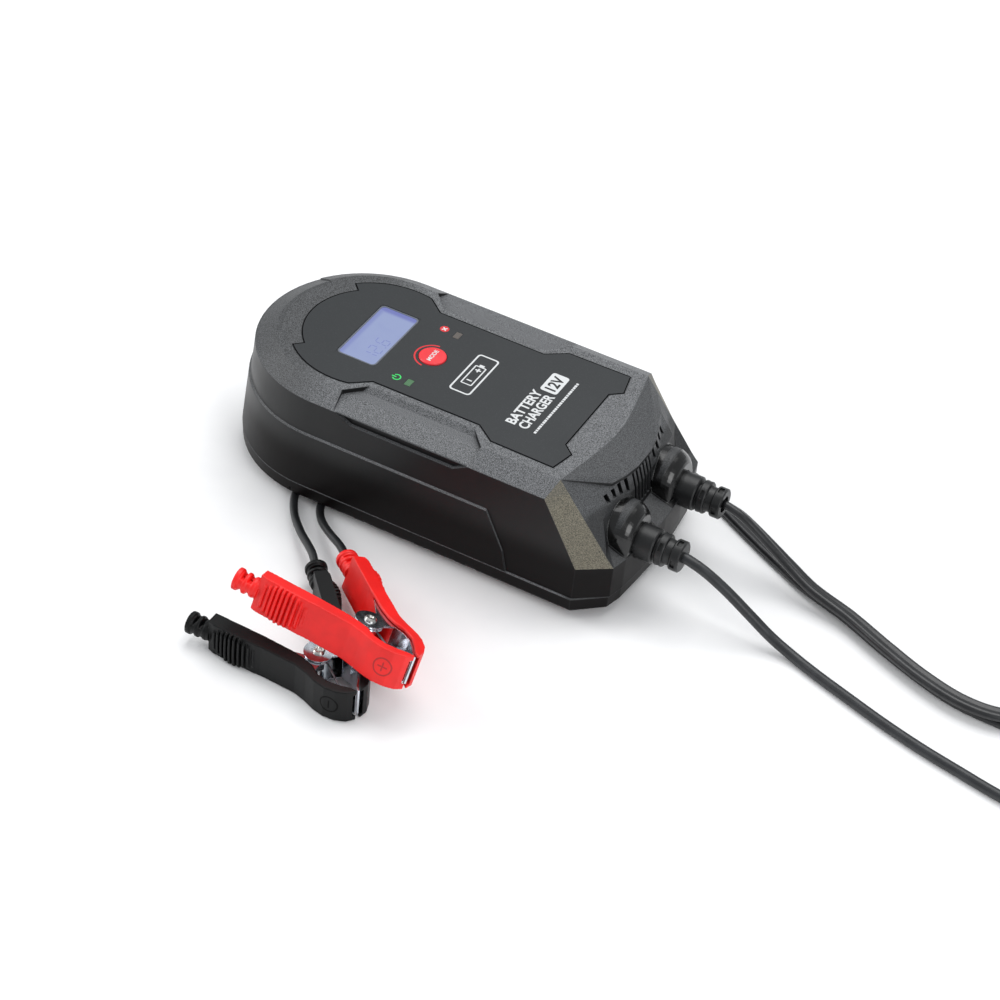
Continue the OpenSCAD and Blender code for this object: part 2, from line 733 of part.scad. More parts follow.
black_route = concat([[-12, 88.8, 2.7], [-30, 89.4, 2.7], [-50, 86, 2.7], [-66, 74, 2.7],
    [-75, 52, 2.7], [-77, 22, 2.7], [-76.6, -12, 2.7], [-75, -42, 2.7], [-71, -66, 2.8],
    [-62, -82, 4], [-48, -98, 8]], [for (u = tail_us) tail_pt(black_at, black_turn, u)]);
echo(mains_self_gap = round_gap(mains_ring, 12, mains_d));
echo(output_self_gap = flat_gap(output_ring, 12, 1.96 * strand_d, strand_d));

module mains_cord() {
    color("#2c2d2f")
        sweep(mains_route, round_section(mains_d / 2, 10));
}

module mains_coil() {
    color("#2c2d2f")
        sweep(mains_ring, round_section(mains_d / 2, 6));
}

module output_cord() {
    color("#1f2022")
        sweep(output_route, twin_section(strand_d / 2));
}

module output_coil() {
    color("#1f2022")
        sweep(output_ring, flat_section(strand_d / 2));
}

module output_return() {
    color("#1f2022")
        sweep(return_route, twin_section(strand_d / 2));
}

module red_lead() {
    color("#1b1b1c")
        sweep(red_route, round_section(strand_d / 2, 8));
}

module black_lead() {
    color("#1b1b1c")
        sweep(black_route, round_section(strand_d / 2, 8));
}

module split_sleeve() {
    color("#151515")
        translate([0, 86, 3.2])
            difference() {
                rotate([0, 90, 0])
                    linear_extrude(26, center = true)
                        hull()
                            for (s = [-1, 1])
                                translate([0, s * 4.4])
                                    circle(r = 3.1, $fn = 24);
                translate([6, -5.4, -3])
                    cube([8, 10.8, 5.6]);
                for (s = [-1, 1])
                    translate([-14, s * 2.8 - 2.65, -3.15])
                        cube([8, 5.3, 5.3]);
            }
}

// flat two-pin mains plug, lying beside the coil
plug_c = [497, -63, 7.3];
pin_y = 9.25;

module mains_plug() {
    color("#1c1c1d")
        translate(plug_c)
            difference() {
                union() {
                    rotate([0, 90, 0])
                        rotate_extrude()
                            polygon([[0, -14], [4.4, -14], [5.2, -4], [6.2, 4], [0, 4]]);
                    rotate([90, 0, 90])
                        linear_extrude(34)
                            polygon([for (s = [1, -1], q = [[17.6, -3.4], [17.6, 3.4], [14, 6.9]])
                                [s * q[0], s * q[1]]]);
                }
                translate([-15, 0, 0])
                    rotate([0, 90, 0])
                        cylinder(h = 13, r = mains_d / 2 + 0.1);
                for (s = [-1, 1])
                    translate([24, s * pin_y, 0])
                        rotate([0, 90, 0])
                            cylinder(h = 12, r = 1.6);
            }
}

module plug_pins() {
    color("#c9cacc")
        translate(plug_c)
            for (s = [-1, 1])
                translate([24, s * pin_y, 0])
                    rotate([0, 90, 0])
                        rotate_extrude()
                            polygon([[0, 0], [1.6, 0], [1.6, 10], [2, 10], [2, 28.2], [1.2, 29],
                                [0, 29]]);
}

// ---- battery clamps ----
// A lever's own frame: u along the straight handle, v outward is negative,
// origin on the rivet. lever_turn brings it into the clamp's frame, tips at +x.
lever_out = [[-62, -15.4], [-58, -16.8], [-31, -17.6], [-27, -17.2], [-4, -18.2], [4, -20.4],
    [11, -23.2], [18, -24.6], [25, -24], [31, -21.4], [34.4, -17.2]];
lever_in = [[34.4, -16.4], [30, -16.4], [24.4, -18], [17.5, -18.9], [9.8, -17.2], [4, -13.2],
    [-2, -11], [-10, -9.6], [-30, -8.4], [-62, -7.8]];
web_line = [[33.2, -15.3], [29.3, -15.35], [24.2, -16.9], [17.4, -17.8], [10.3, -16], [5.2, -12.4]];

module lever_frame(side) {
    scale([1, side, 1])
        rotate([0, 0, lever_turn])
            children();
}

// plastic handle: channel with finger ribs, closed tail and a slotted cord tail
module handle(side, sign_marks, pocket) {
    h = clamp_half;
    lever_frame(side)
        difference() {
            union() {
                linear_extrude(2 * h, center = true)
                    polygon(concat(lever_out, lever_in));
                for (k = [0:9])
                    let (f = sin(18 * k + 9), w = h * (0.66 + 0.34 * f) - 0.1, v = -18 - 2.6 * f)
                        translate([-57 + k * 2.85, 0, 0])
                            rotate([90, 0, 90])
                                linear_extrude(1.5, center = true)
                                    polygon([[-14, -w], [-14, w], [v + 1.8, w], [v + 0.4, w - 1.6],
                                        [v, 0], [v + 0.4, 1.6 - w], [v + 1.8, -w]]);
                translate([-76, tail_v, 0])
                    rotate([0, 90, 0])
                        rotate_extrude()
                            polygon([[0, 0], [6.6, 0], [6.6, 2.6], [5.6, 2.8], [5.6, 15], [0, 15]]);
            }
            linear_extrude(2 * pocket, center = true)
                polygon([[-30, -15.4], [-4, -15.8], [4, -18.1], [11, -21], [18, -22.4],
                    [24.4, -21.7], [30, -19], [36, -18], [36, -10], [10, 0], [-30, 0]]);
            translate([-77, tail_v, 0])
                rotate([0, 90, 0])
                    cylinder(h = 31, r = strand_d / 2 + 0.25);
            for (k = [0:1], s = [-1, 1])
                translate([-72.2 + k * 4.4, tail_v - 8, s * 5.4 - 2.6])
                    cube([2, 16, 5.2]);
            if (sign_marks > 0)
                translate([22, -25.4, 0])
                    rotate([90, 0, 7])
                        translate([0, 0, -0.7])
                            linear_extrude(2)
                                difference() {
                                    circle(r = 5.4);
                                    circle(r = 4.7);
                                }
        }
}

// steel jaw: two side plates with the rivet lobe and a curved web to the tip
module jaw(side, plate_z, bore) {
    lever_frame(side)
        difference() {
            union() {
                for (s = [-1, 1])
                    translate([0, 0, s * (plate_z - jaw_t / 2)])
                        linear_extrude(jaw_t, center = true)
                            difference() {
                                union() {
                                    circle(r = 8.6);
                                    polygon(concat([[-6.4, -5.6], [-22, -9.4], [-22, -13.2], [-4, -14.8],
                                        [4, -17.4], [11, -20.4], [18, -21.7], [24.2, -20.9], [29.4, -18.2],
                                        [33.2, -16.4]], web_line, [[5.6, -6.4]]));
                                }
                                circle(r = bore);
                            }
                linear_extrude(2 * plate_z, center = true)
                    polygon(concat(web_line, [for (i = [5:-1:0]) web_line[i] + (i == 0 ? [0.3, -jaw_t]
                        : i == 5 ? [-0.7, -0.7] * jaw_t : [0.1, -jaw_t])]));
            }
        }
}

module rivet() {
    r = rivet_d / 2;
    z = fixed_plate + 0.1;
    rotate_extrude()
        polygon([[0, -z - 1.4], [2.6, -z - 1.4], [3.5, -z - 0.5], [3.5, -z + 0.05], [r, -z + 0.05],
            [r, z - 0.05], [3.5, z - 0.05], [3.5, z + 0.5], [2.6, z + 1.4], [1.6, z + 1.4],
            [1.2, z + 0.8], [0, z + 0.8]]);
}

// torsion spring round the rivet, its legs lying in the two handles
module spring() {
    n = 5;
    half = moving_plate - jaw_t - 2.1;
    coil = [for (i = [0:n * 8 + 3]) let (a = -150 - i * 45)
        [2.9 * cos(a), 2.9 * sin(a), -half + 2 * half * i / (n * 8 + 3)]];
    a1 = -150 - (n * 8 + 3) * 45;
    leg0 = [for (t = [24, 14, 5]) coil[0] + t * [sin(-150), -cos(-150), 0]];
    leg1 = [for (t = [5, 14, 24]) coil[len(coil) - 1] + t * [sin(a1), -cos(a1), 0]];
    sweep(concat([leg0[0] - [0, 0, 0.01]], [for (i = [1:2]) leg0[i]], coil, leg1),
        round_section(0.6, 6));
}

module place(at, turn) {
    translate(at)
        rotate(turn)
            children();
}

fixed_plate = clamp_half - handle_wall - seat;
moving_plate = fixed_plate - jaw_t - 0.3;

module red_fixed_handle() {
    color("#d6141c")
        place(red_at, red_turn)
            handle(-1, 0, fixed_plate + seat);
}

module red_moving_handle() {
    color("#d6141c")
        place(red_at, red_turn)
            handle(1, 1, moving_plate + seat);
}

module red_fixed_jaw() {
    color("#b9bcc0")
        place(red_at, red_turn)
            jaw(-1, fixed_plate, rivet_d / 2);
}

module red_moving_jaw() {
    color("#b9bcc0")
        place(red_at, red_turn)
            jaw(1, moving_plate, rivet_d / 2 + rivet_gap);
}

module red_rivet() {
    color("#a8abaf")
        place(red_at, red_turn)
            rivet();
}

module red_spring() {
    color("#9a9da2")
        place(red_at, red_turn)
            spring();
}

module black_fixed_handle() {
    color("#1a1b1c")
        place(black_at, black_turn)
            handle(-1, 0, fixed_plate + seat);
}

module black_moving_handle() {
    color("#1a1b1c")
        place(black_at, black_turn)
            handle(1, 1, moving_plate + seat);
}

module black_fixed_jaw() {
    color("#b9bcc0")
        place(black_at, black_turn)
            jaw(-1, fixed_plate, rivet_d / 2);
}

module black_moving_jaw() {
    color("#b9bcc0")
        place(black_at, black_turn)
            jaw(1, moving_plate, rivet_d / 2 + rivet_gap);
}

module black_rivet() {
    color("#a8abaf")
        place(black_at, black_turn)
            rivet();
}

module black_spring() {
    color("#9a9da2")
        place(black_at, black_turn)
            spring();
}

bottom_cover();
top_cover();
rubber_feet();
cover_screws();
panel_overlay();
panel_prints();
lcd_window();
lcd_module();
mode_button();
tact_switch();
status_lights();
display_board();
display_screws();
main_board();
board_screws();
transformer_core();
transformer_winding();
capacitors();
heat_sink();
terminals();
fan_frame();
fan_rotor();
mains_relief();
output_relief();
mains_cord();
mains_coil();
mains_plug();
plug_pins();
output_cord();
output_coil();
output_return();
split_sleeve();
red_lead();
black_lead();
red_fixed_handle();
red_moving_handle();
red_fixed_jaw();
red_moving_jaw();
red_rivet();
red_spring();
black_fixed_handle();
black_moving_handle();
black_fixed_jaw();
black_moving_jaw();
black_rivet();
black_spring();
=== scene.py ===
"""Looks of a car battery charger: moulded housing, printed panel, cords and clamps."""

import math
from functools import partial

import bmesh
import bpy
from bpy.props import FloatProperty, FloatVectorProperty, PointerProperty
from mathutils import Matrix, Vector


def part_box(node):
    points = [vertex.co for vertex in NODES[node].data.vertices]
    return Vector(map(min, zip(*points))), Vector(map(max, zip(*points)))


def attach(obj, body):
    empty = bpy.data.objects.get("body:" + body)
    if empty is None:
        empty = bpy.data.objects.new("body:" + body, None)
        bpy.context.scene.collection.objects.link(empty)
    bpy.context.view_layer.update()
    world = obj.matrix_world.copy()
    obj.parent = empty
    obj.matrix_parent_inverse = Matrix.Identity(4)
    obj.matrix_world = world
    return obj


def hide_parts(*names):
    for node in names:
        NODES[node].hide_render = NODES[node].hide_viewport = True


bl_info = {
    "name": "Battery charger looks",
    "version": (1, 0, 0),
    "blender": (4, 5, 0),
    "location": "3D View > Sidebar > Charger",
    "description": "Builds the finishes, prints, cords and clamps of a car battery charger",
    "category": "Object",
}

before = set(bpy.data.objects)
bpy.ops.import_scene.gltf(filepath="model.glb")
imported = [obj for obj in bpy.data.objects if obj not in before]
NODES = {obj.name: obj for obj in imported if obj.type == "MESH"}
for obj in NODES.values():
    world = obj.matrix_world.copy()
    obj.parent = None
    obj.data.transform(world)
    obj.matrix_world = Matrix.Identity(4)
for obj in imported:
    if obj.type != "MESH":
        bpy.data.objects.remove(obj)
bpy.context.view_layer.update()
MM = 0.001

# The camera's place in metres, the ways its right side, top and back face, and its lens.
CAMERA_PLACE = (0.5482, -1.1270, 1.0721)
CAMERA_AXES = ((0.8756, 0.4766, 0.0791), (-0.3662, 0.5479, 0.7522), (0.3152, -0.6875, 0.6542))
CAMERA_LENS, CAMERA_SENSOR = 98.76, 36.0

# Soft lights: place, point aimed at, width in metres and power in watts.
SOFTBOXES = {
    "top_softbox": ((0.1, 0.55, 1.5), (0.0, 0.0, 0.05), 1.3, 17.0),
    "right_softbox": ((1.35, -0.75, 0.75), (0.1, -0.03, 0.04), 0.8, 8.5),
    "left_softbox": ((-1.25, -0.35, 0.8), (-0.05, -0.05, 0.04), 0.8, 9.5),
}
FLOOR_HALF, WORLD_STRENGTH = 4.0, 0.55

# The points that the cords follow from their strain reliefs, in millimetres.
MAINS_ROUTE = [
    (161.7, -27.4, 39.5), (163.5, -27.4, 39.5), (175, -27.5, 36.2), (189.8, -27.4, 28.6),
    (205.7, -27.4, 18.4), (221.7, -28, 8.8), (238.3, -30.8, 4), (255, -36.3, 3.3),
    (277.7, -43.6, 3.3), (300, -50.5, 3.3), (325, -57, 3.3), (350, -62, 3.3),
    (375, -66.6, 3.3), (400, -69, 3.3), (426, -68.56, 3.3), (445.695, -65.077, 3.3),
]
MAINS_TAIL = [(462, -63.1, 10.5), (472, -63, 9.2), (481, -63, 7.3), (494, -63, 7.3)]
OUTPUT_ROUTE = [
    (161.7, 27.4, 39.5), (163.5, 27.4, 39.5), (173.5, 27.4, 36.6), (183, 27.2, 31.4),
    (194.3, 26.4, 24.8), (208, 24, 18.2), (226, 19.4, 12), (252.5, 13.5, 8.6),
    (280, 1.5, 8.4), (308, -9.5, 8.4), (335, -15.5, 8.5), (358, -12.5, 8.5),
    (375, 2, 7.2), (383.6, 19, 4.4), (386.325, 34, 2.8), (386.325, 44, 2.8),
]
RETURN_ROUTE = [
    (442, -11.675, 9.8), (430, -11.675, 9.8), (414, -11.8, 7.2), (396, -11.6, 4),
    (372, -12, 2.8), (350, -12.2, 2.7), (328, -10.6, 2.7), (305, -4, 2.7), (277, 6.9, 2.7),
    (249.6, 19, 2.7), (220, 29, 2.7), (200, 38.6, 2.7), (183, 47.4, 2.7), (168, 55.6, 2.7),
    (152, 64.5, 2.7), (135, 74, 2.7), (115, 81.5, 2.7), (90, 85, 2.7), (60, 86, 2.7),
    (32, 86, 2.7), (12.2, 86, 2.7),
]
# The coils between them, in millimetres, turns and degrees; ramp is in points.
MAINS_COIL = {
    "centre": (456, -112), "inner": 27, "pitch": 7, "turns": 6, "rise": 7.2, "low": 3.3,
    "start": 100, "ramp": 7,
}
OUTPUT_COIL = {
    "centre": (444, 46), "inner": 42, "pitch": 11.4, "turns": 2.75, "rise": 7, "low": 2.8,
    "start": 180, "ramp": 5,
}
COIL_POINTS = 24  # in each turn
CORD_STEP, LEAD_STEP = 0.004, 0.003  # between points, in metres

# The flat output cord leaves nearly on edge, in radians, and lies flat this far on, in metres.
EXIT_ROLL = math.radians(-45)
FLAT_AFTER = 0.18
# Its strands' middles are this many diameters apart, and each outline turns this far each way.
STRANDS_APART, STRAND_TURN = 0.96, 128

# Where the clamps lie: rivet place in millimetres and turn in degrees.
RED_CLAMP = ((38.1, -171.4, 31.4), (-19.8, 0.0, -20.3))
BLACK_CLAMP = ((18.7, -187.5, 11.4), (0.0, 0.0, -24.5))
# A lever's turn from the clamp's middle, in degrees, and the rest of it in millimetres from
# the rivet: the tail's line, the collars round it as place and radius, the lids of the
# channel as two ends and half a width, the channel's line as a point and its fall, and the
# outer face near the tip with its mark.
LEVER_TURN = 24.0
TAIL_V = -12.0
COLLARS = ((-69.2, 6.3), (-64.2, 6.1))
COLLAR_HALF, COLLAR_BORE, COLLAR_POINTS = 0.9, 3.6, 28
LIDS = ((-30.3, -22.4, 9.3), (-22.6, -9, 7.3))
LID_DEPTHS = (0.2, 1.5)
CHANNEL_AT, CHANNEL_FALL = (-30, -8.4), 0.06
TIP_FACE = ((8, -22.0), (11, -23.2), (18, -24.6), (25, -24.0), (31, -21.4), (34, -18.0))
MARK_U, MARK_HEIGHT, MARK_SUNK = 21.4, 0.22, 0.2


def on_lever(clamp, u, v, w=0.0, side=-1):
    """A point of one lever's own frame, in the shared frame and in millimetres."""
    at, turn = clamp
    point = Matrix.Rotation(math.radians(LEVER_TURN), 3, "Z") @ Vector((u, v, w))
    point.y *= side
    point = Matrix.Rotation(math.radians(turn[0]), 3, "X") @ point
    point = Matrix.Rotation(math.radians(turn[2]), 3, "Z") @ point
    return tuple(point + Vector(at))


def tail_of(clamp):
    """The lead's last points, inside the fixed handle's tail."""
    return [on_lever(clamp, u, TAIL_V) for u in (-89, -77, -64, -50)]


RED_ROUTE = [
    (-12.2, 83.2, 2.7), (-28, 82.6, 2.7), (-42, 76, 2.7), (-52, 62, 2.7), (-58, 36, 2.7),
    (-59, 6, 2.7), (-58, -28, 2.7), (-56.6, -52, 2.7), (-52.5, -68, 2.9), (-44.8, -80, 5.6),
    (-34, -90.5, 9.6), *tail_of(RED_CLAMP),
]
BLACK_ROUTE = [
    (-12.2, 88.8, 2.7), (-30, 89.4, 2.7), (-50, 86, 2.7), (-66, 74, 2.7), (-75, 52, 2.7),
    (-77, 22, 2.7), (-76.6, -12, 2.7), (-75, -42, 2.7), (-71, -66, 2.8), (-62, -82, 4),
    (-48, -98, 8), *tail_of(BLACK_CLAMP),
]

# On the top panel, in millimetres: window, middles of button, frame, block and signs, and
# the foot of the display's first digit.
WINDOW_MM = ((-70.8, -44.4), (-27.2, 27.2))
BUTTON_MM = (-21.0, 0.0)
FRAME_MM = (7.4, -1.0)
BLOCK_MM = (50.4, 18.0)
FAULT_SIGN_MM = (-28.2, 27.0)
POWER_SIGN_MM = (-28.9, -28.2)
READING_MM = (-48.2, -22.0)
# Thickness of an ink layer, in metres, and how much the words' strokes are widened.
INK = 0.00004
BOLD = 0.028
# How fast the button's top falls away from its middle.
BUTTON_CONE = 0.037

# Where the housing's finish changes: the way the corner facets face, and in metres the
# middle of a cable boss and of its dome, with the dome's half sizes. Y counts outward.
FACET_FACING = (0.576, 0.679, 0.456)
BOSS_MIDDLE = (0.0, 0.0274, 0.0425)
DOME_MIDDLE, DOME_HALF = (0.1195, 0.0274, 0.0451), (0.014, 0.0174, 0.016)
# The axis of the housing's round end: two heights, and its x at each.
ROUND_END_AXIS = (0.0157, 0.0778, -0.0674, -0.0628)


def linear(hex_colour):
    """Four linear numbers from an sRGB hex colour."""
    parts = [int(hex_colour[i : i + 2], 16) / 255 for i in (1, 3, 5)]
    return [p / 12.92 if p <= 0.04045 else ((p + 0.055) / 1.055) ** 2.4 for p in parts] + [1.0]


def shaded(colour, by, lift=0.0):
    """The colour made darker or paler."""
    return [min(1.0, c * by + lift) for c in colour[:3]] + [1.0]


def metres(points):
    """Vectors in metres from points in millimetres."""
    return [Vector(p) / 1000 for p in points]


def colour_prop(name, description, hex_colour):
    """A colour that a user may change."""
    return FloatVectorProperty(
        name=name, description=description, subtype="COLOR", size=4, min=0.0, max=1.0,
        default=linear(hex_colour),
    )


def length_prop(name, description, default):
    """A length in metres that a user may change."""
    return FloatProperty(name=name, description=description, default=default, unit="LENGTH")


class ChargerColours(bpy.types.PropertyGroup):
    """Colours of the mouldings, prints and cords."""

    housing: colour_prop("Housing", "Black ABS of both covers", "#0e0f10")
    grain: colour_prop("Grain", "Pale points of the sparked texture", "#85878a")
    facet: colour_prop("Facet grain", "Points of the texture on the corner facets", "#837d6b")
    overlay: colour_prop("Overlay", "Matt film of the top panel", "#25282a")
    ink: colour_prop("Ink", "Screen ink of the prints", "#d5d7d8")
    button: colour_prop("Button", "Mode button", "#e22d36")
    display: colour_prop("Display", "Lit face of the display", "#8f9dc8")
    display_edge: colour_prop("Display edge", "Violet light at the edge of the display", "#6871b8")
    rubber: colour_prop("Strain relief", "Moulded flexible PVC", "#0f1011")
    mains: colour_prop("Mains cord", "Sheath of the mains cord", "#1a1c1f")
    output: colour_prop("Output cord", "Sheath of the flat cord and leads", "#17181a")
    clamp_red: colour_prop("Red handle", "Handles of the plus clamp", "#ef1612")
    clamp_black: colour_prop("Black handle", "Handles of the minus clamp", "#08090a")


class ChargerSizes(bpy.types.PropertyGroup):
    """Sizes of cords, roundings and grain."""

    mains_d: length_prop("Mains cord", "Diameter", 0.0064)
    strand_d: length_prop("Strand", "Diameter of a lead", 0.005)
    rounding: length_prop("Edge rounding", "Radius of the moulded edges", 0.0009)
    voxel: length_prop("Mould detail", "Cell of the rounded mouldings", 0.00039)
    # Spark-eroded grain is 0.1 to 0.2 mm wide, too fine to show: it is drawn at 0.4 mm and more.
    fine_grain: length_prop("Fine grain", "Spacing of the sparked texture", 0.0004)
    coarse_grain: length_prop("Coarse grain", "Spacing of the facet texture", 0.00045)


# ---- materials ----

# The settings that a node of each kind has here, where its own don't say else.
USUAL = {
    "MapRange": {"interpolation_type": "SMOOTHSTEP"},
    "Mix": {"data_type": "RGBA"},
    "Math": {"operation": "MULTIPLY"},
    "Bevel": {"samples": 4},
}
DOT = {"operation": "DOT_PRODUCT"}
# A wave texture of scale 1 has its bands this far apart, in metres.
WAVE = math.pi / 10


def add_node(tree, kind, inputs=(), **settings):
    """A shader node with its settings. Its inputs are values, sockets or nodes, given by name
    or in the order of those in use; a node gives its first output in use."""
    node = tree.nodes.new("ShaderNode" + kind)
    for name, value in {**USUAL.get(kind, {}), **settings}.items():
        setattr(node, name, value)
    if isinstance(inputs, dict):
        pairs = [(node.inputs[name], value) for name, value in inputs.items()]
    else:
        pairs = zip([socket for socket in node.inputs if socket.enabled], inputs)
    for socket, value in pairs:
        if isinstance(value, bpy.types.Node):
            value = next(output for output in value.outputs if output.enabled)
        if isinstance(value, bpy.types.NodeSocket):
            tree.links.new(value, socket)
        else:
            socket.default_value = value
    return node


def mask(add, *steps):
    """1 where every value is past its step and 0 where one is before it; a step is a value,
    the two numbers between which it rises and, where not from 0 to 1, what from and to."""
    held = None
    for step in steps:
        rise = add("MapRange", step)
        held = add("Math", [held, rise]) if held else rise
    return held


def round_end_normal(add, place, flat, rounded):
    """The rounded normal with the facets of the housing's round end smoothed away: there the
    level part of the normal points straight out from the end's own axis."""
    x, y, z = place
    nx, ny, nz = add("SeparateXYZ", [flat]).outputs
    axis = add("MapRange", [z, *ROUND_END_AXIS], interpolation_type="LINEAR")
    out = add("Math", [x, axis], operation="SUBTRACT")
    radial = add("VectorMath", [add("CombineXYZ", [out, y])], operation="NORMALIZE")
    level = add("CombineXYZ", [nx, ny])
    reach = add("VectorMath", [level], operation="LENGTH")
    agree = add("VectorMath", [add("VectorMath", [level], operation="NORMALIZE"), radial], **DOT)
    lean = add("VectorMath", [rounded, flat], **DOT)
    radial = add("VectorMath", [radial, reach], operation="SCALE")
    smooth = add("VectorMath", [radial, add("CombineXYZ", {"Z": nz})])
    use = mask(add, (agree, 0.99, 0.996), (out, 0.0005, -0.0005), (lean, 0.9965, 0.9985))
    return add("Mix", [use, rounded, smooth], data_type="VECTOR")


# Each finish adds its nodes and gives the inputs of its shader.


def sparked_abs(add, place, wall, grain, facet_grain):
    """Black ABS moulded in a spark-eroded tool: satin walls that darken toward the foot,
    sparkling grain on the slopes, bronze-lit grain on the two corner facets, polished cable
    bosses and edges worn a little paler."""
    sizes = bpy.context.scene.charger_sizes
    flat = add("NewGeometry").outputs["True Normal"]
    nx, ny, nz = add("SeparateXYZ", [flat]).outputs
    x, y, z = add("SeparateXYZ", [place]).outputs
    side = add("Math", [ny], operation="ABSOLUTE")
    across = add("Math", [y], operation="ABSOLUTE")

    # The corner facets, by the way they face.
    facing = add("VectorMath", [add("CombineXYZ", [nx, side, nz]), FACET_FACING], **DOT)
    facet = mask(add, (facing, 0.955, 0.985), (across, 0.0455, 0.0465), (z, 0.0362, 0.0368))
    # The cable bosses, round bars above the skirt, each with a dome on its inner end.
    section = add("CombineXYZ", {"Y": across, "Z": z})
    from_boss = add("VectorMath", [section, BOSS_MIDDLE], operation="DISTANCE")
    boss = mask(add, (from_boss, 0.0188, 0.018), (x, 0.1165, 0.1185), (z, 0.0372, 0.0378))
    folded = add("CombineXYZ", [x, across, z])
    from_dome = add("VectorMath", [folded, DOME_MIDDLE], operation="SUBTRACT")
    from_dome = add("VectorMath", [from_dome, DOME_HALF], operation="DIVIDE")
    from_dome = add("VectorMath", [from_dome], operation="LENGTH")
    boss = add("Math", [boss, add("MapRange", [from_dome, 1.06, 1.02])], operation="MAXIMUM")
    not_boss = add("Math", [1.0, boss], operation="SUBTRACT")
    grained = add("Math", [add("MapRange", [nz, 0.2, 0.34]), not_boss])
    # Where the grain is darker: the brow over the grille, the ledges beside it, the far end.
    brow = add("MapRange", [nx, 0.2, 0.55, 0.0, 0.5])
    shelf = mask(add, (z, 0.067, 0.063), (x, 0.108, 0.112, 0.0, 0.62))
    far_end = add("MapRange", [x, -0.05, -0.085, 0.0, 0.5])
    foot = add("MapRange", [z, 0.056, 0.03])

    fine = add("TexNoise", [place, 1 / sizes.fine_grain, 3.0, 0.65])
    coarse = add("TexNoise", [place, 1 / sizes.coarse_grain, 3.0, 0.7])
    cloud = add("TexNoise", [place, 1 / (30 * MM)])
    pale = add("Mix", [add("MapRange", [fine, 0.36, 0.66]), wall, grain])
    for where, shade in ((brow, "#232425"), (shelf, "#0c0d0d"), (far_end, "#0c0d0d")):
        pale = add("Mix", [where, pale, linear(shade)])
    bronze = add("Mix", [add("MapRange", [coarse, 0.36, 0.64]), linear("#2c2a23"), facet_grain])
    body = add("Mix", [foot, wall, linear("#0a0707")])
    body = add("Mix", [boss, body, linear("#090909")])
    body = add("Mix", [grained, body, pale])
    body = add("Mix", [facet, body, bronze])
    rounded = add("Bevel", [sizes.rounding])
    wear = add("MapRange", [add("VectorMath", [rounded, flat], **DOT), 0.995, 0.86, 0.0, 0.45])
    body = add("Mix", [wear, body, linear("#4a4c4e")])

    height = add("Mix", [facet, fine, coarse], data_type="FLOAT")
    depth = add("MapRange", [grained, 0.0, 1.0, 0.12, 0.9])
    rough = add("MapRange", [cloud, 0.3, 0.7, 0.36, 0.42])
    gloss = add("MapRange", [foot, 0.0, 1.0, 0.26, 0.1])
    for where, rough_there, gloss_there in ((grained, 0.5, 0.4), (boss, 0.2, 0.5)):
        rough = add("Mix", [where, rough, rough_there], data_type="FLOAT")
        gloss = add("Mix", [where, gloss, gloss_there], data_type="FLOAT")
    normal = add("Bump", {
        "Height": height, "Distance": 0.06 * MM, "Strength": depth,
        "Normal": round_end_normal(add, (x, y, z), flat, rounded),
    })
    return {
        "Base Color": body, "Roughness": rough, "IOR": 1.53, "Specular IOR Level": gloss,
        "Normal": normal,
    }


def moulded_plastic(add, place, colour, roughness, grain=0.6, depth=0.02, rounding=0.4, coat=0.0,
                    glow=0.0, gloss=0.5):
    """A plain moulding: its colour drifts a little, its gloss has the tool's fine grain and
    its edges are rounded; a fluorescent pigment gives back some light as glow. Grain, depth
    and rounding are in millimetres, the grain several times as coarse as a real tool's."""
    cloud = add("TexNoise", [place, 1 / (12 * MM)])
    grains = add("TexNoise", [place, 1 / (grain * MM)])
    body = add("Mix", [add("MapRange", [cloud, 0.3, 0.7]), shaded(colour, 0.86), colour])
    rounded = add("Bevel", [rounding * MM])
    return {
        "Base Color": body, "IOR": 1.5, "Specular IOR Level": gloss,
        "Roughness": add("MapRange", [grains, 0.3, 0.7, roughness - 0.04, roughness + 0.05]),
        "Coat Weight": coat, "Coat Roughness": 0.12,
        "Emission Color": body, "Emission Strength": glow,
        "Normal": add("Bump", {"Height": grains, "Distance": depth * MM, "Normal": rounded}),
    }


def cord_sheath(add, place, colour, roughness):
    """Extruded PVC: satin with faint die lines and a dusty bloom. The die's marks are under
    0.2 mm, too fine to show, and are drawn at 0.8 mm."""
    cloud = add("TexNoise", [place, 1 / (9 * MM)])
    lines = add("TexNoise", [place, 1 / (0.8 * MM), 3.0])
    bloom = add("MapRange", [cloud, 0.35, 0.7])
    return {
        "Base Color": add("Mix", [bloom, colour, shaded(colour, 1.35, 0.004)]),
        "Roughness": add("MapRange", [lines, 0.3, 0.7, roughness - 0.05, roughness + 0.05]),
        "IOR": 1.54, "Normal": add("Bump", {"Height": lines, "Distance": 0.02 * MM}),
    }


def metal(add, place, colour, roughness, marks, depth, streak=(1, 1, 1)):
    """A metal, pressed, drawn or plated: a tight highlight broken by fine marks along streak,
    with their spacing and depth in millimetres."""
    stretched = add("Mapping", {"Vector": place, "Scale": streak})
    lines = add("TexNoise", [stretched, 1 / (marks * MM), 4.0, 0.6])
    cloud = add("TexNoise", [place, 1 / (6 * MM)])
    rounded = add("Bevel", [0.2 * MM])
    stain = add("MapRange", [cloud, 0.3, 0.75])
    return {
        "Base Color": add("Mix", [stain, colour, shaded(colour, 0.84)]),
        "Metallic": 1.0,
        "Roughness": add("MapRange", [lines, 0.3, 0.7, roughness - 0.04, roughness + 0.06]),
        "Normal": add("Bump", {"Height": lines, "Distance": depth * MM, "Normal": rounded}),
    }


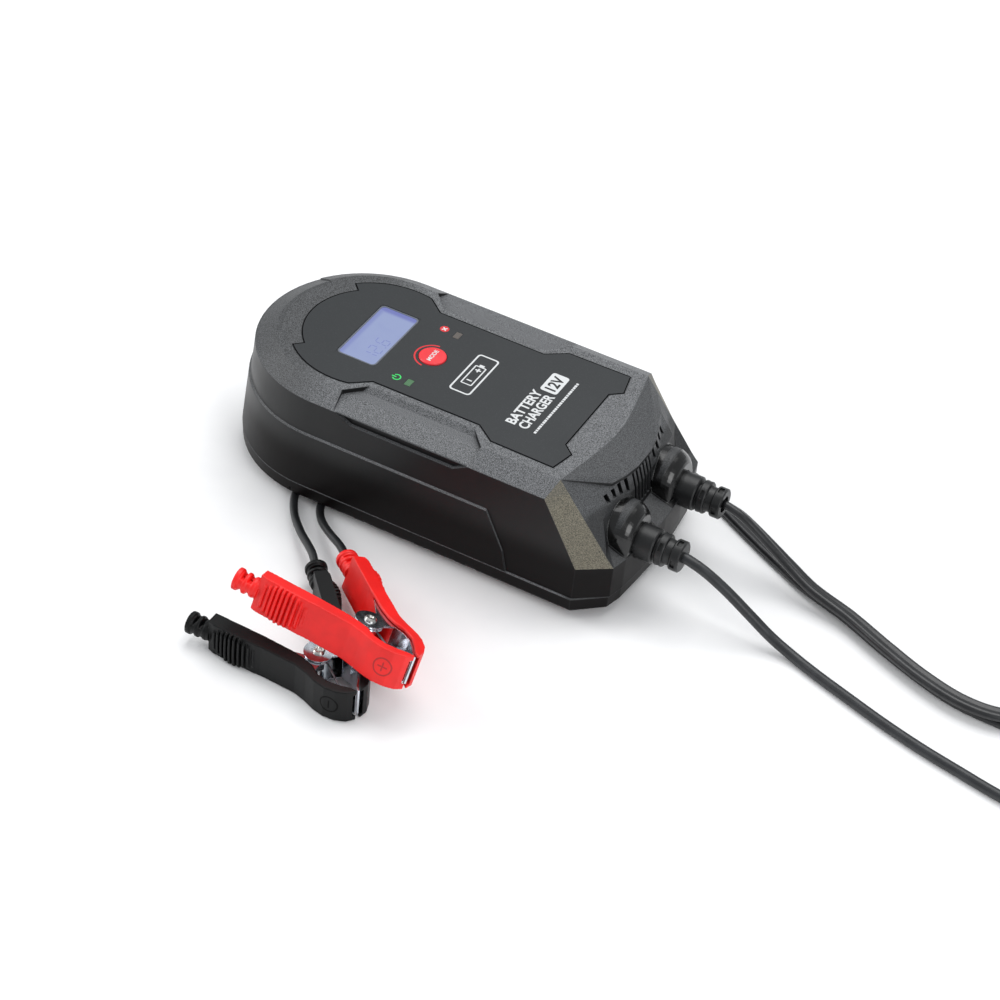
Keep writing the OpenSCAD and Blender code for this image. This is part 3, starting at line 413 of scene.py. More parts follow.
def panel_film(add, place, colour):
    """Polyester overlay with a matt hard coat: velvety, with paler specks. The coat's texture
    is under 0.1 mm, too fine to show, and is drawn at 0.5 mm."""
    texture = add("TexNoise", [place, 1 / (0.5 * MM)])
    cloud = add("TexNoise", [place, 1 / (50 * MM)])
    rounded = add("Bevel", [0.2 * MM])
    specks = add("MapRange", [texture, 0.6, 0.72])
    return {
        "Base Color": add("Mix", [specks, colour, linear("#34373a")]),
        "Roughness": add("MapRange", [cloud, 0.3, 0.7, 0.5, 0.57]),
        "IOR": 1.57, "Specular IOR Level": 0.32,
        "Normal": add("Bump", {"Height": texture, "Distance": 0.02 * MM, "Normal": rounded}),
    }


def screen_ink(add, place, colour):
    """Screen-printed ink: chalky, with the dots of the mesh. A mesh has 0.1 mm threads, too
    fine to show, and is drawn at 0.4 mm."""
    dots = add("TexNoise", [place, 1 / (0.4 * MM)])
    thin = add("MapRange", [dots, 0.4, 0.65])
    return {
        "Base Color": add("Mix", [thin, colour, shaded(colour, 0.88)]),
        "Roughness": add("MapRange", [dots, 0.3, 0.7, 0.5, 0.6]), "IOR": 1.5,
    }


def lit_display(add, place, face, edge):
    """Backlit display under its acrylic window: pale blue, with a violet band where the
    light leaks along two edges, and the window over it as a clear coat."""
    where = add("SeparateXYZ", [place]).outputs
    far = add("MapRange", [where["Y"], 0.0206, 0.0238])
    side = add("MapRange", [where["X"], -0.0655, -0.0684, 0.0, 0.6])
    band = add("Math", [far, side], operation="MAXIMUM")
    haze = add("TexNoise", [place, 1 / (12 * MM)])
    light = add("Mix", [band, face, edge])
    light = add("Mix", [add("MapRange", [haze, 0.4, 0.8, 0.0, 0.14]), light, edge])
    return {
        "Base Color": linear("#15171d"), "Roughness": add("MapRange", [haze, 0.3, 0.7, 0.3, 0.36]),
        "IOR": 1.49, "Emission Color": light, "Emission Strength": 1.0,
        "Coat Weight": 1.0, "Coat Roughness": 0.06,
    }


def tinted_lamps(add, place, near, far):
    """Tinted light windows of smoked polycarbonate, with a faint reeded lens of 0.8 mm ribs
    below: one colour on each side of the middle line."""
    reeds = add("TexWave", [place, WAVE / (0.8267 * MM), 0.4]).outputs["Fac"]
    side = add("SeparateXYZ", [place]).outputs["Y"]
    tint = add("Mix", [add("MapRange", [side, -0.001, 0.001]), near, far])
    deep = add("Mix", [0.4, tint, linear("#101010")])
    return {
        "Base Color": add("Mix", [reeds, deep, tint]),
        "Roughness": add("MapRange", [reeds, 0.0, 1.0, 0.28, 0.4]), "IOR": 1.49,
        "Coat Weight": 0.5, "Coat Roughness": 0.1,
    }


def glass_board(add, place, resist, weave_tint):
    """Fibreglass circuit board under solder resist: the weave shows through, its 0.5 mm
    threads drawn 1.26 mm apart to show."""
    warp, weft = (
        add("TexWave", [place, WAVE / (1.2566 * MM)], bands_direction=way).outputs["Fac"]
        for way in "XY"
    )
    weave = add("Math", [warp, weft])
    return {
        "Base Color": add("Mix", [weave, resist, weave_tint]),
        "Roughness": add("MapRange", [weave, 0.0, 1.0, 0.25, 0.4]), "IOR": 1.55,
        "Normal": add("Bump", {"Height": weave, "Distance": 0.02 * MM}),
    }


def wound_copper(add, place, varnish, wire):
    """Enamelled copper wire wound in layers: bright lines between amber varnish, the 0.8 mm
    wire drawn at twice its width to show."""
    turns = add("TexWave", [place, WAVE / (1.5708 * MM), 0.3], bands_direction="Z").outputs["Fac"]
    return {
        "Base Color": add("Mix", [turns, varnish, wire]), "Metallic": 0.7,
        "Roughness": add("MapRange", [turns, 0.0, 1.0, 0.45, 0.28]),
        "Normal": add("Bump", {"Height": turns, "Distance": 0.2 * MM}),
    }


def pale_floor(add, place, shade, tint):
    """Matt white studio sheet: hardly any tooth, so that shadows stay soft."""
    tooth = add("TexNoise", [place, 1 / (20 * MM)])
    return {
        "Base Color": add("Mix", [tooth, shade, tint]),
        "Roughness": add("MapRange", [tooth, 0.3, 0.7, 0.85, 0.95]),
    }


# Every finish: its maker and the maker's values in order, the rest of them by name. A colour
# is a hex colour or one of the charger's own colours by name.
FINISHES = {
    "abs_sparked_black": (sparked_abs, "housing", "grain", "facet"),
    # The panel: velvety film with a black cut edge, chalky inks, a lit display in a satin
    # bezel, smoked lamps and a satin button whose pigment glows.
    "polyester_overlay_film": (panel_film, "overlay"),
    "polyester_cut_edge": (moulded_plastic, "#030303", 0.8, dict(gloss=0.02)),
    "screen_ink_white": (screen_ink, "ink"),
    "screen_ink_red": (screen_ink, "#d2232b"),
    "screen_ink_green": (screen_ink, "#2fd765"),
    "screen_ink_black": (screen_ink, "#0c0d0e"),
    "backlit_display_acrylic": (lit_display, "display", "display_edge"),
    "display_segments_dark": (screen_ink, "#7781b4"),
    "display_bezel_pale": (moulded_plastic, "#666b76", 0.3, dict(coat=0.3)),
    "polycarbonate_lamp_windows": (tinted_lamps, "#47774e", "#5d5650"),
    "abs_moulded_red_button": (moulded_plastic, "button", 0.4, dict(glow=0.06)),
    # Cords and their ends: satin sheaths, and reliefs, plug and sleeve a little rougher.
    "pvc_extruded_mains": (cord_sheath, "mains", 0.42),
    "pvc_extruded_output": (cord_sheath, "output", 0.33),
    "pvc_moulded_relief": (moulded_plastic, "rubber", 0.4, dict(rounding=0.5, depth=0.04)),
    "pvc_moulded_plug": (moulded_plastic, "#1a1a1b", 0.42, dict(depth=0.04)),
    "brass_nickel_plated_pin": (metal, "#cfd0d2", 0.18, 3, 0.01, (1, 8, 8)),
    # Clamps: semi-matt polypropylene with a darker raised mark, bright pressed jaws, a warm
    # satin rivet and a dull drawn spring.
    "pp_moulded_red_handle": (moulded_plastic, "clamp_red", 0.42, dict(rounding=0.3, glow=0.04)),
    "pp_moulded_black_handle": (
        moulded_plastic, "clamp_black", 0.44, dict(rounding=0.3, gloss=0.22)
    ),
    "pp_moulded_red_mark": (moulded_plastic, "#b81517", 0.45, dict(rounding=0.1)),
    "pp_moulded_black_mark": (moulded_plastic, "#020202", 0.5, dict(rounding=0.1, gloss=0.1)),
    "steel_zinc_plated_pressed": (metal, "#d6dbe2", 0.16, 4, 0.004),
    "steel_rivet_nickel": (metal, "#d3d2cd", 0.26, 2, 0.003),
    "steel_spring_wire": (metal, "#8d9095", 0.32, 1, 0.02),
    # Under and inside the covers: matt feet, greyish screws, a shiny green board, dull
    # ferrite, glossy sleeves, a brushed heat sink and plain connectors and fan.
    "epdm_moulded_foot": (moulded_plastic, "#151515", 0.75, dict(depth=0.06)),
    "steel_zinc_screw": (metal, "#a9abae", 0.34, 0.8, 0.02),
    "fr4_solder_resist": (glass_board, "#155a30", "#24804a"),
    "ferrite_pressed_core": (moulded_plastic, "#3b3b3f", 0.6, dict(grain=0.9, depth=0.05)),
    "copper_enamelled_winding": (wound_copper, "#6e3a16", "#d08a45"),
    "pet_capacitor_sleeve": (moulded_plastic, "#1c2b3d", 0.3, dict(coat=0.4)),
    "pa66_terminal_green": (moulded_plastic, "#2d7a43", 0.5),
    "pbt_moulded_fan": (moulded_plastic, "#222327", 0.5),
    "aluminium_extruded_sink": (metal, "#b6b9bd", 0.38, 1, 0.03, (12, 12, 1)),
    "display_module_frame": (metal, "#9ea2aa", 0.35, 2, 0.02),
    "studio_sheet": (pale_floor, "#f4f4f5", "#fafafa"),
}


def colour_of(value):
    """A hex colour or a named one as linear numbers; any other value stays as it is."""
    if not isinstance(value, str):
        return value
    if value.startswith("#"):
        return linear(value)
    return getattr(bpy.context.scene.charger_colours, value)[:]


def finish_of(name):
    """The material of that name, made when it is first asked for."""
    material = bpy.data.materials.get(name)
    if not material:
        material = bpy.data.materials.new(name)
        material.use_nodes = True
        material.node_tree.nodes.clear()
        add = partial(add_node, material.node_tree)
        make, *values = FINISHES[name]
        more = values.pop() if isinstance(values[-1], dict) else {}
        place = add("TexCoord").outputs["Object"]
        inputs = make(add, place, *(colour_of(value) for value in values), **more)
        add("OutputMaterial", {"Surface": add("BsdfPrincipled", inputs)})
    return material


def dress(piece, finish):
    """Give a piece or a CAD node one finish."""
    piece.data.materials.clear()
    piece.data.materials.append(finish_of(finish))
    return piece


def settle(piece, finish, slot=None, *replaced, body="housing"):
    """Give a new piece its finish, body and slot, in place of the CAD nodes it stands for."""
    dress(piece, finish)
    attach(piece, body)
    if replaced:
        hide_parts(*replaced)
    return piece


# ---- mesh helpers ----


def in_scene(name, data):
    """A new object of that data, linked to the scene."""
    piece = bpy.data.objects.new(name, data)
    bpy.context.scene.collection.objects.link(piece)
    return piece


def evaluated_mesh(piece):
    """The piece's mesh with its modifiers, or its text as a mesh."""
    bpy.context.view_layer.update()
    seen = piece.evaluated_get(bpy.context.evaluated_depsgraph_get())
    return bpy.data.meshes.new_from_object(seen)


def mesh_piece(name, vertices, faces):
    """A new object of those points and faces."""
    mesh = bpy.data.meshes.new(name)
    mesh.from_pydata([tuple(v) for v in vertices], [], faces)
    mesh.update()
    return in_scene(name, mesh)


def smooth_line(points, step):
    """The points joined by a smooth curve, with points about step metres apart."""
    out = []
    for i in range(len(points) - 1):
        a = points[max(i - 1, 0)]
        b, c = points[i], points[i + 1]
        d = points[min(i + 2, len(points) - 1)]
        span = (c - b).length
        leave = (c - a) * (span / (c - a).length) if i else (c - b)
        arrive = (d - b) * (span / (d - b).length)
        count = max(1, round(span / step))
        for k in range(count):
            t = k / count
            t2, t3 = t * t, t * t * t
            out.append(
                b * (2 * t3 - 3 * t2 + 1) + leave * (t3 - 2 * t2 + t)
                + c * (3 * t2 - 2 * t3) + arrive * (t3 - t2)
            )
    out.append(points[-1])
    return out


def coil(centre, inner, pitch, turns, rise, low, start, ramp):
    """Two layers of a flat coil, in along the lower one and out along the upper, in
    millimetres; it climbs within ramp points of the middle."""
    count = int(turns * COIL_POINTS)
    half = count / 2
    out = []
    for i in range(count + 1):
        layer = min(1, max(0, (i - half + ramp) / ramp / 2))
        radius = inner + pitch * turns / 2 * abs(i / half - 1)
        angle = math.radians(start - i * 360 / COIL_POINTS)
        out.append((
            centre[0] + radius * math.cos(angle), centre[1] + radius * math.sin(angle),
            low + rise * (3 - 2 * layer) * layer * layer,
        ))
    return out


def round_cord(name, points, diameter):
    """A curve of one open spline with a round bevel."""
    curve = bpy.data.curves.new(name, "CURVE")
    curve.dimensions = "3D"
    spline = curve.splines.new("POLY")
    spline.points.add(len(points) - 1)
    for point, place in zip(spline.points, points):
        point.co = (*place, 1.0)
    spline.use_smooth = True
    curve.bevel_depth = diameter / 2
    curve.bevel_resolution = 5
    curve.use_fill_caps = True
    return in_scene(name, curve)


def twin_outline(strand, count=9):
    """Section of a flat cord: two round strands that run into each other."""
    right = arc(strand / 2 * STRANDS_APART, 0, strand / 2, -STRAND_TURN, STRAND_TURN, count - 1)
    return right + [(-x, -y) for x, y in right]


def swept(name, points, outline, roll):
    """A mesh tube along points; its section stays level across, turned by each point's roll."""
    vertices, faces = [], []
    last = len(points) - 1
    for i, p in enumerate(points):
        along = (points[min(i + 1, last)] - points[max(i - 1, 0)]).normalized()
        level = Vector((-along.y, along.x, 0)).normalized()
        turn = Matrix.Rotation(roll[i], 3, along)
        across, up = turn @ level, turn @ along.cross(level)
        vertices += [p + across * x + up * y for x, y in outline]
    n = len(outline)
    for i in range(last):
        for k in range(n):
            a, b = i * n + k, i * n + (k + 1) % n
            faces.append((a, b, b + n, a + n))
    faces += [tuple(range(n - 1, -1, -1)), tuple(range(last * n, last * n + n))]
    piece = mesh_piece(name, vertices, faces)
    piece.data.shade_smooth()
    return piece


def softened(name, node, voxel, rounds=4, added=()):
    """A moulding made from a copy of a node's solid, and added solids of points and faces,
    with every edge rounded by the tool."""
    mesh = NODES[node].data.copy()
    mesh.name = name
    piece = in_scene(name, mesh)
    form = bmesh.new()
    form.from_mesh(mesh)
    bmesh.ops.remove_doubles(form, verts=form.verts, dist=1e-6)
    for points, faces in added:
        corners = [form.verts.new(p) for p in points]
        for face in faces:
            form.faces.new([corners[k] for k in face])
    bmesh.ops.recalc_face_normals(form, faces=form.faces)
    form.to_mesh(mesh)
    form.free()
    remesh = piece.modifiers.new("mould", "REMESH")
    remesh.mode, remesh.voxel_size, remesh.use_smooth_shade = "VOXEL", voxel, True
    relax = piece.modifiers.new("round", "SMOOTH")
    relax.factor, relax.iterations = 0.5, rounds
    made = evaluated_mesh(piece)
    piece.modifiers.clear()
    piece.data = made
    made.shade_smooth()
    return piece


def flat_shapes(name, outlines, z, thickness, finish, *slot, body="housing", place=None):
    """Thin raised prints from closed outlines of (x, y) in millimetres, with holes as inner
    lists; place turns (x, y, height) into a point in metres for marks on a curved face.
    After the slot come the nodes that the piece stands for."""
    place = place or (lambda x, y, up: (x / 1000, y / 1000, z + up))
    form = bmesh.new()
    for outline in outlines:
        rings = outline if isinstance(outline[0][0], (tuple, list)) else [outline]
        edges = []
        for ring in rings:
            corners = [form.verts.new((x, y, 0)) for x, y in ring]
            edges += [form.edges.new((corners[i - 1], corners[i])) for i in range(len(corners))]
        bmesh.ops.triangle_fill(form, edges=edges, use_beauty=True)
    grown = bmesh.ops.extrude_face_region(form, geom=list(form.faces))
    up = [v for v in grown["geom"] if isinstance(v, bmesh.types.BMVert)]
    bmesh.ops.translate(form, verts=up, vec=(0, 0, thickness))
    for vertex in form.verts:
        vertex.co = place(*vertex.co)
    bmesh.ops.recalc_face_normals(form, faces=form.faces)
    # The same order of points and faces in every run.
    for items, middle in (
        (form.verts, lambda v: v.co), (form.faces, lambda f: f.calc_center_median()),
    ):
        for index, item in enumerate(sorted(items, key=lambda item: tuple(middle(item)))):
            item.index = index
        items.sort()
    mesh = bpy.data.meshes.new(name)
    form.to_mesh(mesh)
    form.free()
    settle(in_scene(name, mesh), finish, *slot, body=body)


def rim_of(node):
    """The outer outline of a flat node's top face, in order, in millimetres."""
    form = bmesh.new()
    form.from_mesh(NODES[node].data)
    bmesh.ops.remove_doubles(form, verts=form.verts, dist=1e-6)
    top = max(v.co.z for v in form.verts) - 1e-5
    ways = {}
    for edge in form.edges:
        level = sum(face.normal.z > 0.9 for face in edge.link_faces)
        if level == 1 and all(v.co.z > top for v in edge.verts):
            a, b = edge.verts
            ways.setdefault(a, []).append(b)
            ways.setdefault(b, []).append(a)
    start = min(ways, key=lambda v: v.co.x)
    line, last, here = [start], start, ways[start][0]
    while here is not start:
        line.append(here)
        last, here = here, next(v for v in ways[here] if v is not last)
    outline = [(v.co.x * 1000, v.co.y * 1000) for v in line]
    form.free()
    return outline


def inset(outline, gap):
    """The outline moved inward by gap."""
    area = sum(a[0] * b[1] - b[0] * a[1] for a, b in zip(outline, outline[1:] + outline[:1]))
    way = 1 if area > 0 else -1
    out = []
    for i, (x, y) in enumerate(outline):
        (xa, ya), (xb, yb) = outline[i - 1], outline[(i + 1) % len(outline)]
        first = Vector((ya - y, x - xa)).normalized() * way
        second = Vector((y - yb, xb - x)).normalized() * way
        middle = (first + second).normalized()
        step = middle * (gap / max(0.5, middle.dot(first)))
        out.append((x + step.x, y + step.y))
    return out


def lettering(name, words, box, z, finish, bold=BOLD, cone=0.0, body="housing"):
    """Printed words that read along +y, fitted to x0, x1, y0, y1 in millimetres; cone is how
    fast their ground falls away from the button's middle."""
    text = bpy.data.curves.new(name, "FONT")
    text.body, text.offset, text.extrude = words, bold, 0.01
    line = in_scene(name, text)
    mesh = evaluated_mesh(line)
    bpy.data.objects.remove(line)
    low = [min(v.co[k] for v in mesh.vertices) for k in (0, 1)]
    high = [max(v.co[k] for v in mesh.vertices) for k in (0, 1)]
    x0, x1, y0, y1 = box
    for vertex in mesh.vertices:
        along = (vertex.co.x - low[0]) / (high[0] - low[0])
        up = (vertex.co.y - low[1]) / (high[1] - low[1])
        x, y = x1 + (x0 - x1) * up, y0 + (y1 - y0) * along
        drop = cone * math.hypot(x - BUTTON_MM[0], y - BUTTON_MM[1]) / 1000
        height = INK if vertex.co.z > 0 else -INK / 2
        vertex.co = (x / 1000, y / 1000, z - drop + height)
    settle(in_scene(name, mesh), finish, "print_white", body=body)


def arc(cx, cy, radius, start, end, count):
    """Points along an arc between two angles in degrees."""
    angles = [math.radians(start + (end - start) * i / count) for i in range(count + 1)]
    return [(cx + radius * math.cos(a), cy + radius * math.sin(a)) for a in angles]


def rounded_box(cx, cy, width, height, radius):
    """Outline of a box with round corners, from its middle."""
    w, h = width / 2 - radius, height / 2 - radius
    out = []
    for sx, sy, a in ((1, 1, 0), (-1, 1, 90), (-1, -1, 180), (1, -1, 270)):
        out += arc(cx + sx * w, cy + sy * h, radius, a, a + 90, 5)
    return out


def bar(cx, cy, width, height):
    """Outline of a plain box, from its middle."""
    w, h = width / 2, height / 2
    return [(cx - w, cy - h), (cx + w, cy - h), (cx + w, cy + h), (cx - w, cy + h)]


def circle(cx, cy, radius, count=32):
    """Outline of a circle."""
    return arc(cx, cy, radius, 0, 360, count)[:-1]


# ---- operators ----


class CHARGER_OT_camera(bpy.types.Operator):
    """Place the camera above the near side, toward the cable end"""

    bl_idname = "charger.camera"
    bl_label = "Camera"

    def execute(self, context):
        data = bpy.data.cameras.new("camera")
        data.lens, data.sensor_width = CAMERA_LENS, CAMERA_SENSOR
        data.clip_start, data.clip_end = 0.05, 20.0
        camera = in_scene("camera", data)
        turn = Matrix(CAMERA_AXES).transposed().to_4x4()
        camera.matrix_world = Matrix.Translation(CAMERA_PLACE) @ turn
        context.scene.camera = camera
        return {"FINISHED"}


class CHARGER_OT_cords(bpy.types.Operator):
    """Lay the mains cord, the flat output cord and the two leads"""

    bl_idname = "charger.cords"
    bl_label = "Cords and leads"

    def execute(self, context):
        sizes = context.scene.charger_sizes
        wound = coil(**MAINS_COIL)
        line = smooth_line(metres(MAINS_ROUTE), CORD_STEP) + metres(wound)
        line += smooth_line(metres([wound[-1]] + MAINS_TAIL), CORD_STEP)[1:]
        mains = round_cord("mains_cord_lay", line, sizes.mains_d)
        settle(mains, "pvc_extruded_mains", "cord_black", "mains_cord", "mains_coil")

        path = smooth_line(metres(OUTPUT_ROUTE), CORD_STEP) + metres(coil(**OUTPUT_COIL))
        path += smooth_line(metres(RETURN_ROUTE), CORD_STEP)
        flat_from = FLAT_AFTER / CORD_STEP
        roll = [EXIT_ROLL * max(0.0, 1 - i / flat_from) ** 2 for i in range(len(path))]
        flat = swept("output_cord_lay", path, twin_outline(sizes.strand_d), roll)
        settle(
            flat, "pvc_extruded_output", "cord_black", "output_cord", "output_coil",
            "output_return",
        )
        for colour, route in (("red", RED_ROUTE), ("black", BLACK_ROUTE)):
            line = smooth_line(metres(route), LEAD_STEP)
            lead = round_cord(f"{colour}_lead_lay", line, sizes.strand_d)
            settle(lead, "pvc_extruded_output", "cord_black", f"{colour}_lead")
        return {"FINISHED"}


class CHARGER_OT_cord_ends(bpy.types.Operator):
    """Make the plug, the split sleeve and the strain reliefs"""

    bl_idname = "charger.cord_ends"
    bl_label = "Plug, sleeve and strain reliefs"

    def execute(self, context):
        for node, finish, slot, voxel in (
            ("mains_plug", "pvc_moulded_plug", "plug_black", 0.4 * MM),
            ("split_sleeve", "pvc_moulded_relief", "rubber_black", 0.25 * MM),
        ):
            settle(softened(f"{node}_moulded", node, voxel), finish, slot, node)
        for side in ("mains", "output"):
            dress(NODES[f"{side}_relief"], "pvc_moulded_relief")
        dress(NODES["plug_pins"], "brass_nickel_plated_pin")
        return {"FINISHED"}


class CHARGER_OT_housing(bpy.types.Operator):
    """Give the two covers, the feet and the screws their finishes"""

    bl_idname = "charger.housing"
    bl_label = "Housing"

    def execute(self, context):
        for node in ("top_cover", "bottom_cover"):
            dress(NODES[node], "abs_sparked_black")
        dress(NODES["rubber_feet"], "epdm_moulded_foot")
        dress(NODES["cover_screws"], "steel_zinc_screw")
        return {"FINISHED"}


class CHARGER_OT_panel(bpy.types.Operator):
    """Make the overlay, its prints, the display and the mode button"""

    bl_idname = "charger.panel"
    bl_label = "Top panel"

    def execute(self, context):
        dress(NODES["panel_overlay"], "polyester_overlay_film")
        dress(NODES["lcd_window"], "backlit_display_acrylic")
        dress(NODES["mode_button"], "abs_moulded_red_button")
        dress(NODES["status_lights"], "polycarbonate_lamp_windows")
        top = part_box("panel_overlay")[1].z
        self.prints(top)
        self.signs(top)
        self.display(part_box("lcd_window")[1].z)
        lettering(
            "button_word", "MODE", (-22.4, -19.6, -5.4, 5.4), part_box("mode_button")[1].z,
            "screen_ink_white", 0.02, BUTTON_CONE, "mode_button",
        )
        return {"FINISHED"}

    def prints(self, top):
        """The button's ring, the overlay's border, the framed battery and the words."""
        ring = arc(*BUTTON_MM, 11.15, 96, 262, 40) + arc(*BUTTON_MM, 10.15, 262, 96, 40)
        flat_shapes("button_ring_print", [ring], top, INK, "screen_ink_red", "print_white")
        edge = rim_of("panel_overlay")
        flat_shapes(
            "overlay_edge_print", [[inset(edge, 0.02), inset(edge, 0.55)]], top, INK / 2,
            "polyester_cut_edge", "print_white",
        )

        x, y = FRAME_MM
        border = [rounded_box(x, y, 14, 38, 2.4), rounded_box(x, y, 11.9, 35.9, 1.6)]
        battery = [rounded_box(x, y - 1, 7.4, 19, 0.8), rounded_box(x, y - 1, 5.8, 17.4, 0.4)]
        pole, minus = bar(x, y + 9.4, 3.2, 1.6), bar(x, y - 6.2, 3.4, 1.0)
        plus = [bar(x, y + 4.6, 1.0, 3.6)]
        plus += [bar(x + s * 1.15, y + 4.6, 1.3, 1.0) for s in (-1, 1)]
        block = rounded_box(*BLOCK_MM, 11, 18, 1.8)
        dots = [bar(61.6, -27.5 + 2.1 * k, 1.5, 1.3 + 0.5 * (k % 3 != 1)) for k in range(26)]
        white = [border, battery, pole, minus, *plus, block, *dots]
        flat_shapes(
            "panel_white_print", white, top, INK, "screen_ink_white", "print_white",
            "panel_prints",
        )
        for name, words, box, z, ink in (
            ("word_print_upper", "BATTERY", (42.2, 48.6, -28, 7), top, "screen_ink_white"),
            ("word_print_lower", "CHARGER", (50.2, 56.6, -28, 7), top, "screen_ink_white"),
            ("voltage_print", "12V", (46.9, 54.1, 11.2, 24.8), top + INK, "screen_ink_black"),
        ):
            lettering(name, words, box, z, ink)

    def signs(self, top):
        """The fault sign, a cross in a disc, and the power sign, a ring with a bar."""
        x, y = FAULT_SIGN_MM
        arm, half = 1.8, 0.42
        cross = []
        for quarter in range(4):
            a = math.radians(45 + 90 * quarter)
            c, s = math.cos(a), math.sin(a)
            for along, across in ((arm, -half), (arm, half), (half, half)):
                cross.append((x + c * along - s * across, y + s * along + c * across))
        disc = [circle(x, y, 2.8), cross]
        flat_shapes("fault_sign_print", [disc], top, INK, "screen_ink_red", "print_white")
        flat_shapes("fault_cross_print", [cross], top, INK * 0.9, "screen_ink_white")
        x, y = POWER_SIGN_MM
        ring = arc(x, y, 2.7, 215, 505, 24) + arc(x, y, 1.95, 505, 215, 24)
        shapes = [ring, bar(x - 1.7, y, 2.8, 0.8)]
        flat_shapes("power_sign_print", shapes, top, INK, "screen_ink_green", "print_white")

    def display(self, top):
        """The film over the display's corners, the bezel and the reading."""
        (x0, x1), (y0, y1) = WINDOW_MM
        middle = ((x0 + x1) / 2, (y0 + y1) / 2)
        opening = (*middle, x1 - x0 - 0.2, y1 - y0 - 0.2)
        rounded = rounded_box(*opening, 3.2)
        bezel = [rounded, rounded_box(*middle, x1 - x0 - 2.4, y1 - y0 - 2.4, 2.4)]
        for name, outlines, thickness, finish, slot in (
            ("display_corner_mask", [[bar(*opening), rounded]], 0.47 * MM,
             "polyester_overlay_film", "overlay"),
            ("display_bezel", [bezel], 0.2 * MM, "display_bezel_pale", "lcd_body"),
            ("display_digits", self.digits("126", *READING_MM), 0.03 * MM,
             "display_segments_dark", "lcd_glass"),
        ):
            flat_shapes(name, outlines, top, thickness, finish, slot)

    def digits(self, shown, x, y):
        """Seven-segment digits that read along +y, with their tops toward -x, in millimetres,
        and the point before the last."""
        segments_on = {"1": "bc", "2": "abged", "6": "afgedc"}
        tall, wide, thick, gap, pitch, slant = 8.4, 4.6, 0.75, 1.1, 7.0, 0.08
        level, upright = (thick, wide - gap), (tall / 2 - gap, thick)
        segments = {
            "a": (-tall, wide / 2, level), "g": (-tall / 2, wide / 2, level),
            "d": (0, wide / 2, level),
            "f": (-tall * 0.75, 0, upright), "e": (-tall * 0.25, 0, upright),
            "b": (-tall * 0.75, wide, upright), "c": (-tall * 0.25, wide, upright),
        }
        out = []
        for k, digit in enumerate(shown):
            left = y + k * pitch + (1.6 if k == 2 else 0)
            for name in segments_on[digit]:
                dx, dy, size = segments[name]
                out.append(bar(x + dx, left + dy - dx * slant, *size))
        out.append(circle(x, y + 14.2, 0.5, 12))
        return out


class CHARGER_OT_clamps(bpy.types.Operator):
    """Make both battery clamps: rounded handles, plated jaws, rivets and springs"""

    bl_idname = "charger.clamps"
    bl_label = "Battery clamps"

    def execute(self, context):
        voxel = context.scene.charger_sizes.voxel
        for colour, clamp in (("red", RED_CLAMP), ("black", BLACK_CLAMP)):
            handle_finish, slot = f"pp_moulded_{colour}_handle", f"clamp_{colour}"
            for lever, body, side in (("fixed", "housing", -1), ("moving", f"{colour}_jaw", 1)):
                node = f"{colour}_{lever}_handle"
                added = [self.collar(clamp, side, *collar) for collar in COLLARS]
                if lever == "fixed":
                    added += [self.lid(clamp, *lid) for lid in LIDS]
                piece = softened(f"{node}_moulded", node, voxel, 3, added)
                settle(piece, handle_finish, slot, node, body=body)
                dress(NODES[f"{colour}_{lever}_jaw"], "steel_zinc_plated_pressed")
            dress(NODES[f"{colour}_rivet"], "steel_rivet_nickel")
            dress(NODES[f"{colour}_spring"], "steel_spring_wire")
            self.pole_mark(colour, clamp)
        return {"FINISHED"}

    def collar(self, clamp, side, u, radius):
        """A collar round the tail, as points in metres and faces."""
        n, points = COLLAR_POINTS, []
        for du, r in (
            (-COLLAR_HALF, COLLAR_BORE), (-COLLAR_HALF, radius), (COLLAR_HALF, radius),
            (COLLAR_HALF, COLLAR_BORE),
        ):
            points += metres(
                on_lever(clamp, u + du, TAIL_V + dv, dw, side) for dv, dw in circle(0, 0, r, n)
            )
        faces = [
            (ring * n + k, ring * n + (k + 1) % n,
             (ring + 1) % 4 * n + (k + 1) % n, (ring + 1) % 4 * n + k)
            for ring in range(4) for k in range(n)
        ]
        return points, faces

    def lid(self, clamp, u0, u1, half):
        """A plate across the fixed handle's channel, as points in metres and faces."""
        high, low = LID_DEPTHS
        at_u, at_v = CHANNEL_AT
        points = [
            on_lever(clamp, u, at_v - (u - at_u) * CHANNEL_FALL - depth, w)
            for w in (-half, half)
            for u, depth in ((u0, high), (u0, low), (u1, low), (u1, high))
        ]
        faces = [(3, 2, 1, 0), (4, 5, 6, 7)]
        faces += [(k, (k + 1) % 4, (k + 1) % 4 + 4, k + 4) for k in range(4)]
        return metres(points), faces

    def pole_mark(self, colour, clamp):
        """The ring with the pole's sign, raised a little on the outer face near the tip."""

        def place(u, w, up):
            for (u0, v0), (u1, v1) in zip(TIP_FACE, TIP_FACE[1:]):
                if u <= u1:
                    break
            v = v0 + (v1 - v0) * (u - u0) / (u1 - u0) + MARK_SUNK
            return metres([on_lever(clamp, u, v - up, w, 1)])[0]

        u = MARK_U
        shapes = [[circle(u, 0, 5.6, 48), circle(u, 0, 4.7, 48)], bar(u, 0, 0.9, 5.6)]
        if colour == "red":
            shapes += [bar(u + s * 1.65, 0, 2.3, 0.9) for s in (-1, 1)]
        flat_shapes(
            f"{colour}_pole_mark", shapes, 0, MARK_HEIGHT, f"pp_moulded_{colour}_mark",
            f"clamp_{colour}", body=f"{colour}_jaw", place=place,
        )


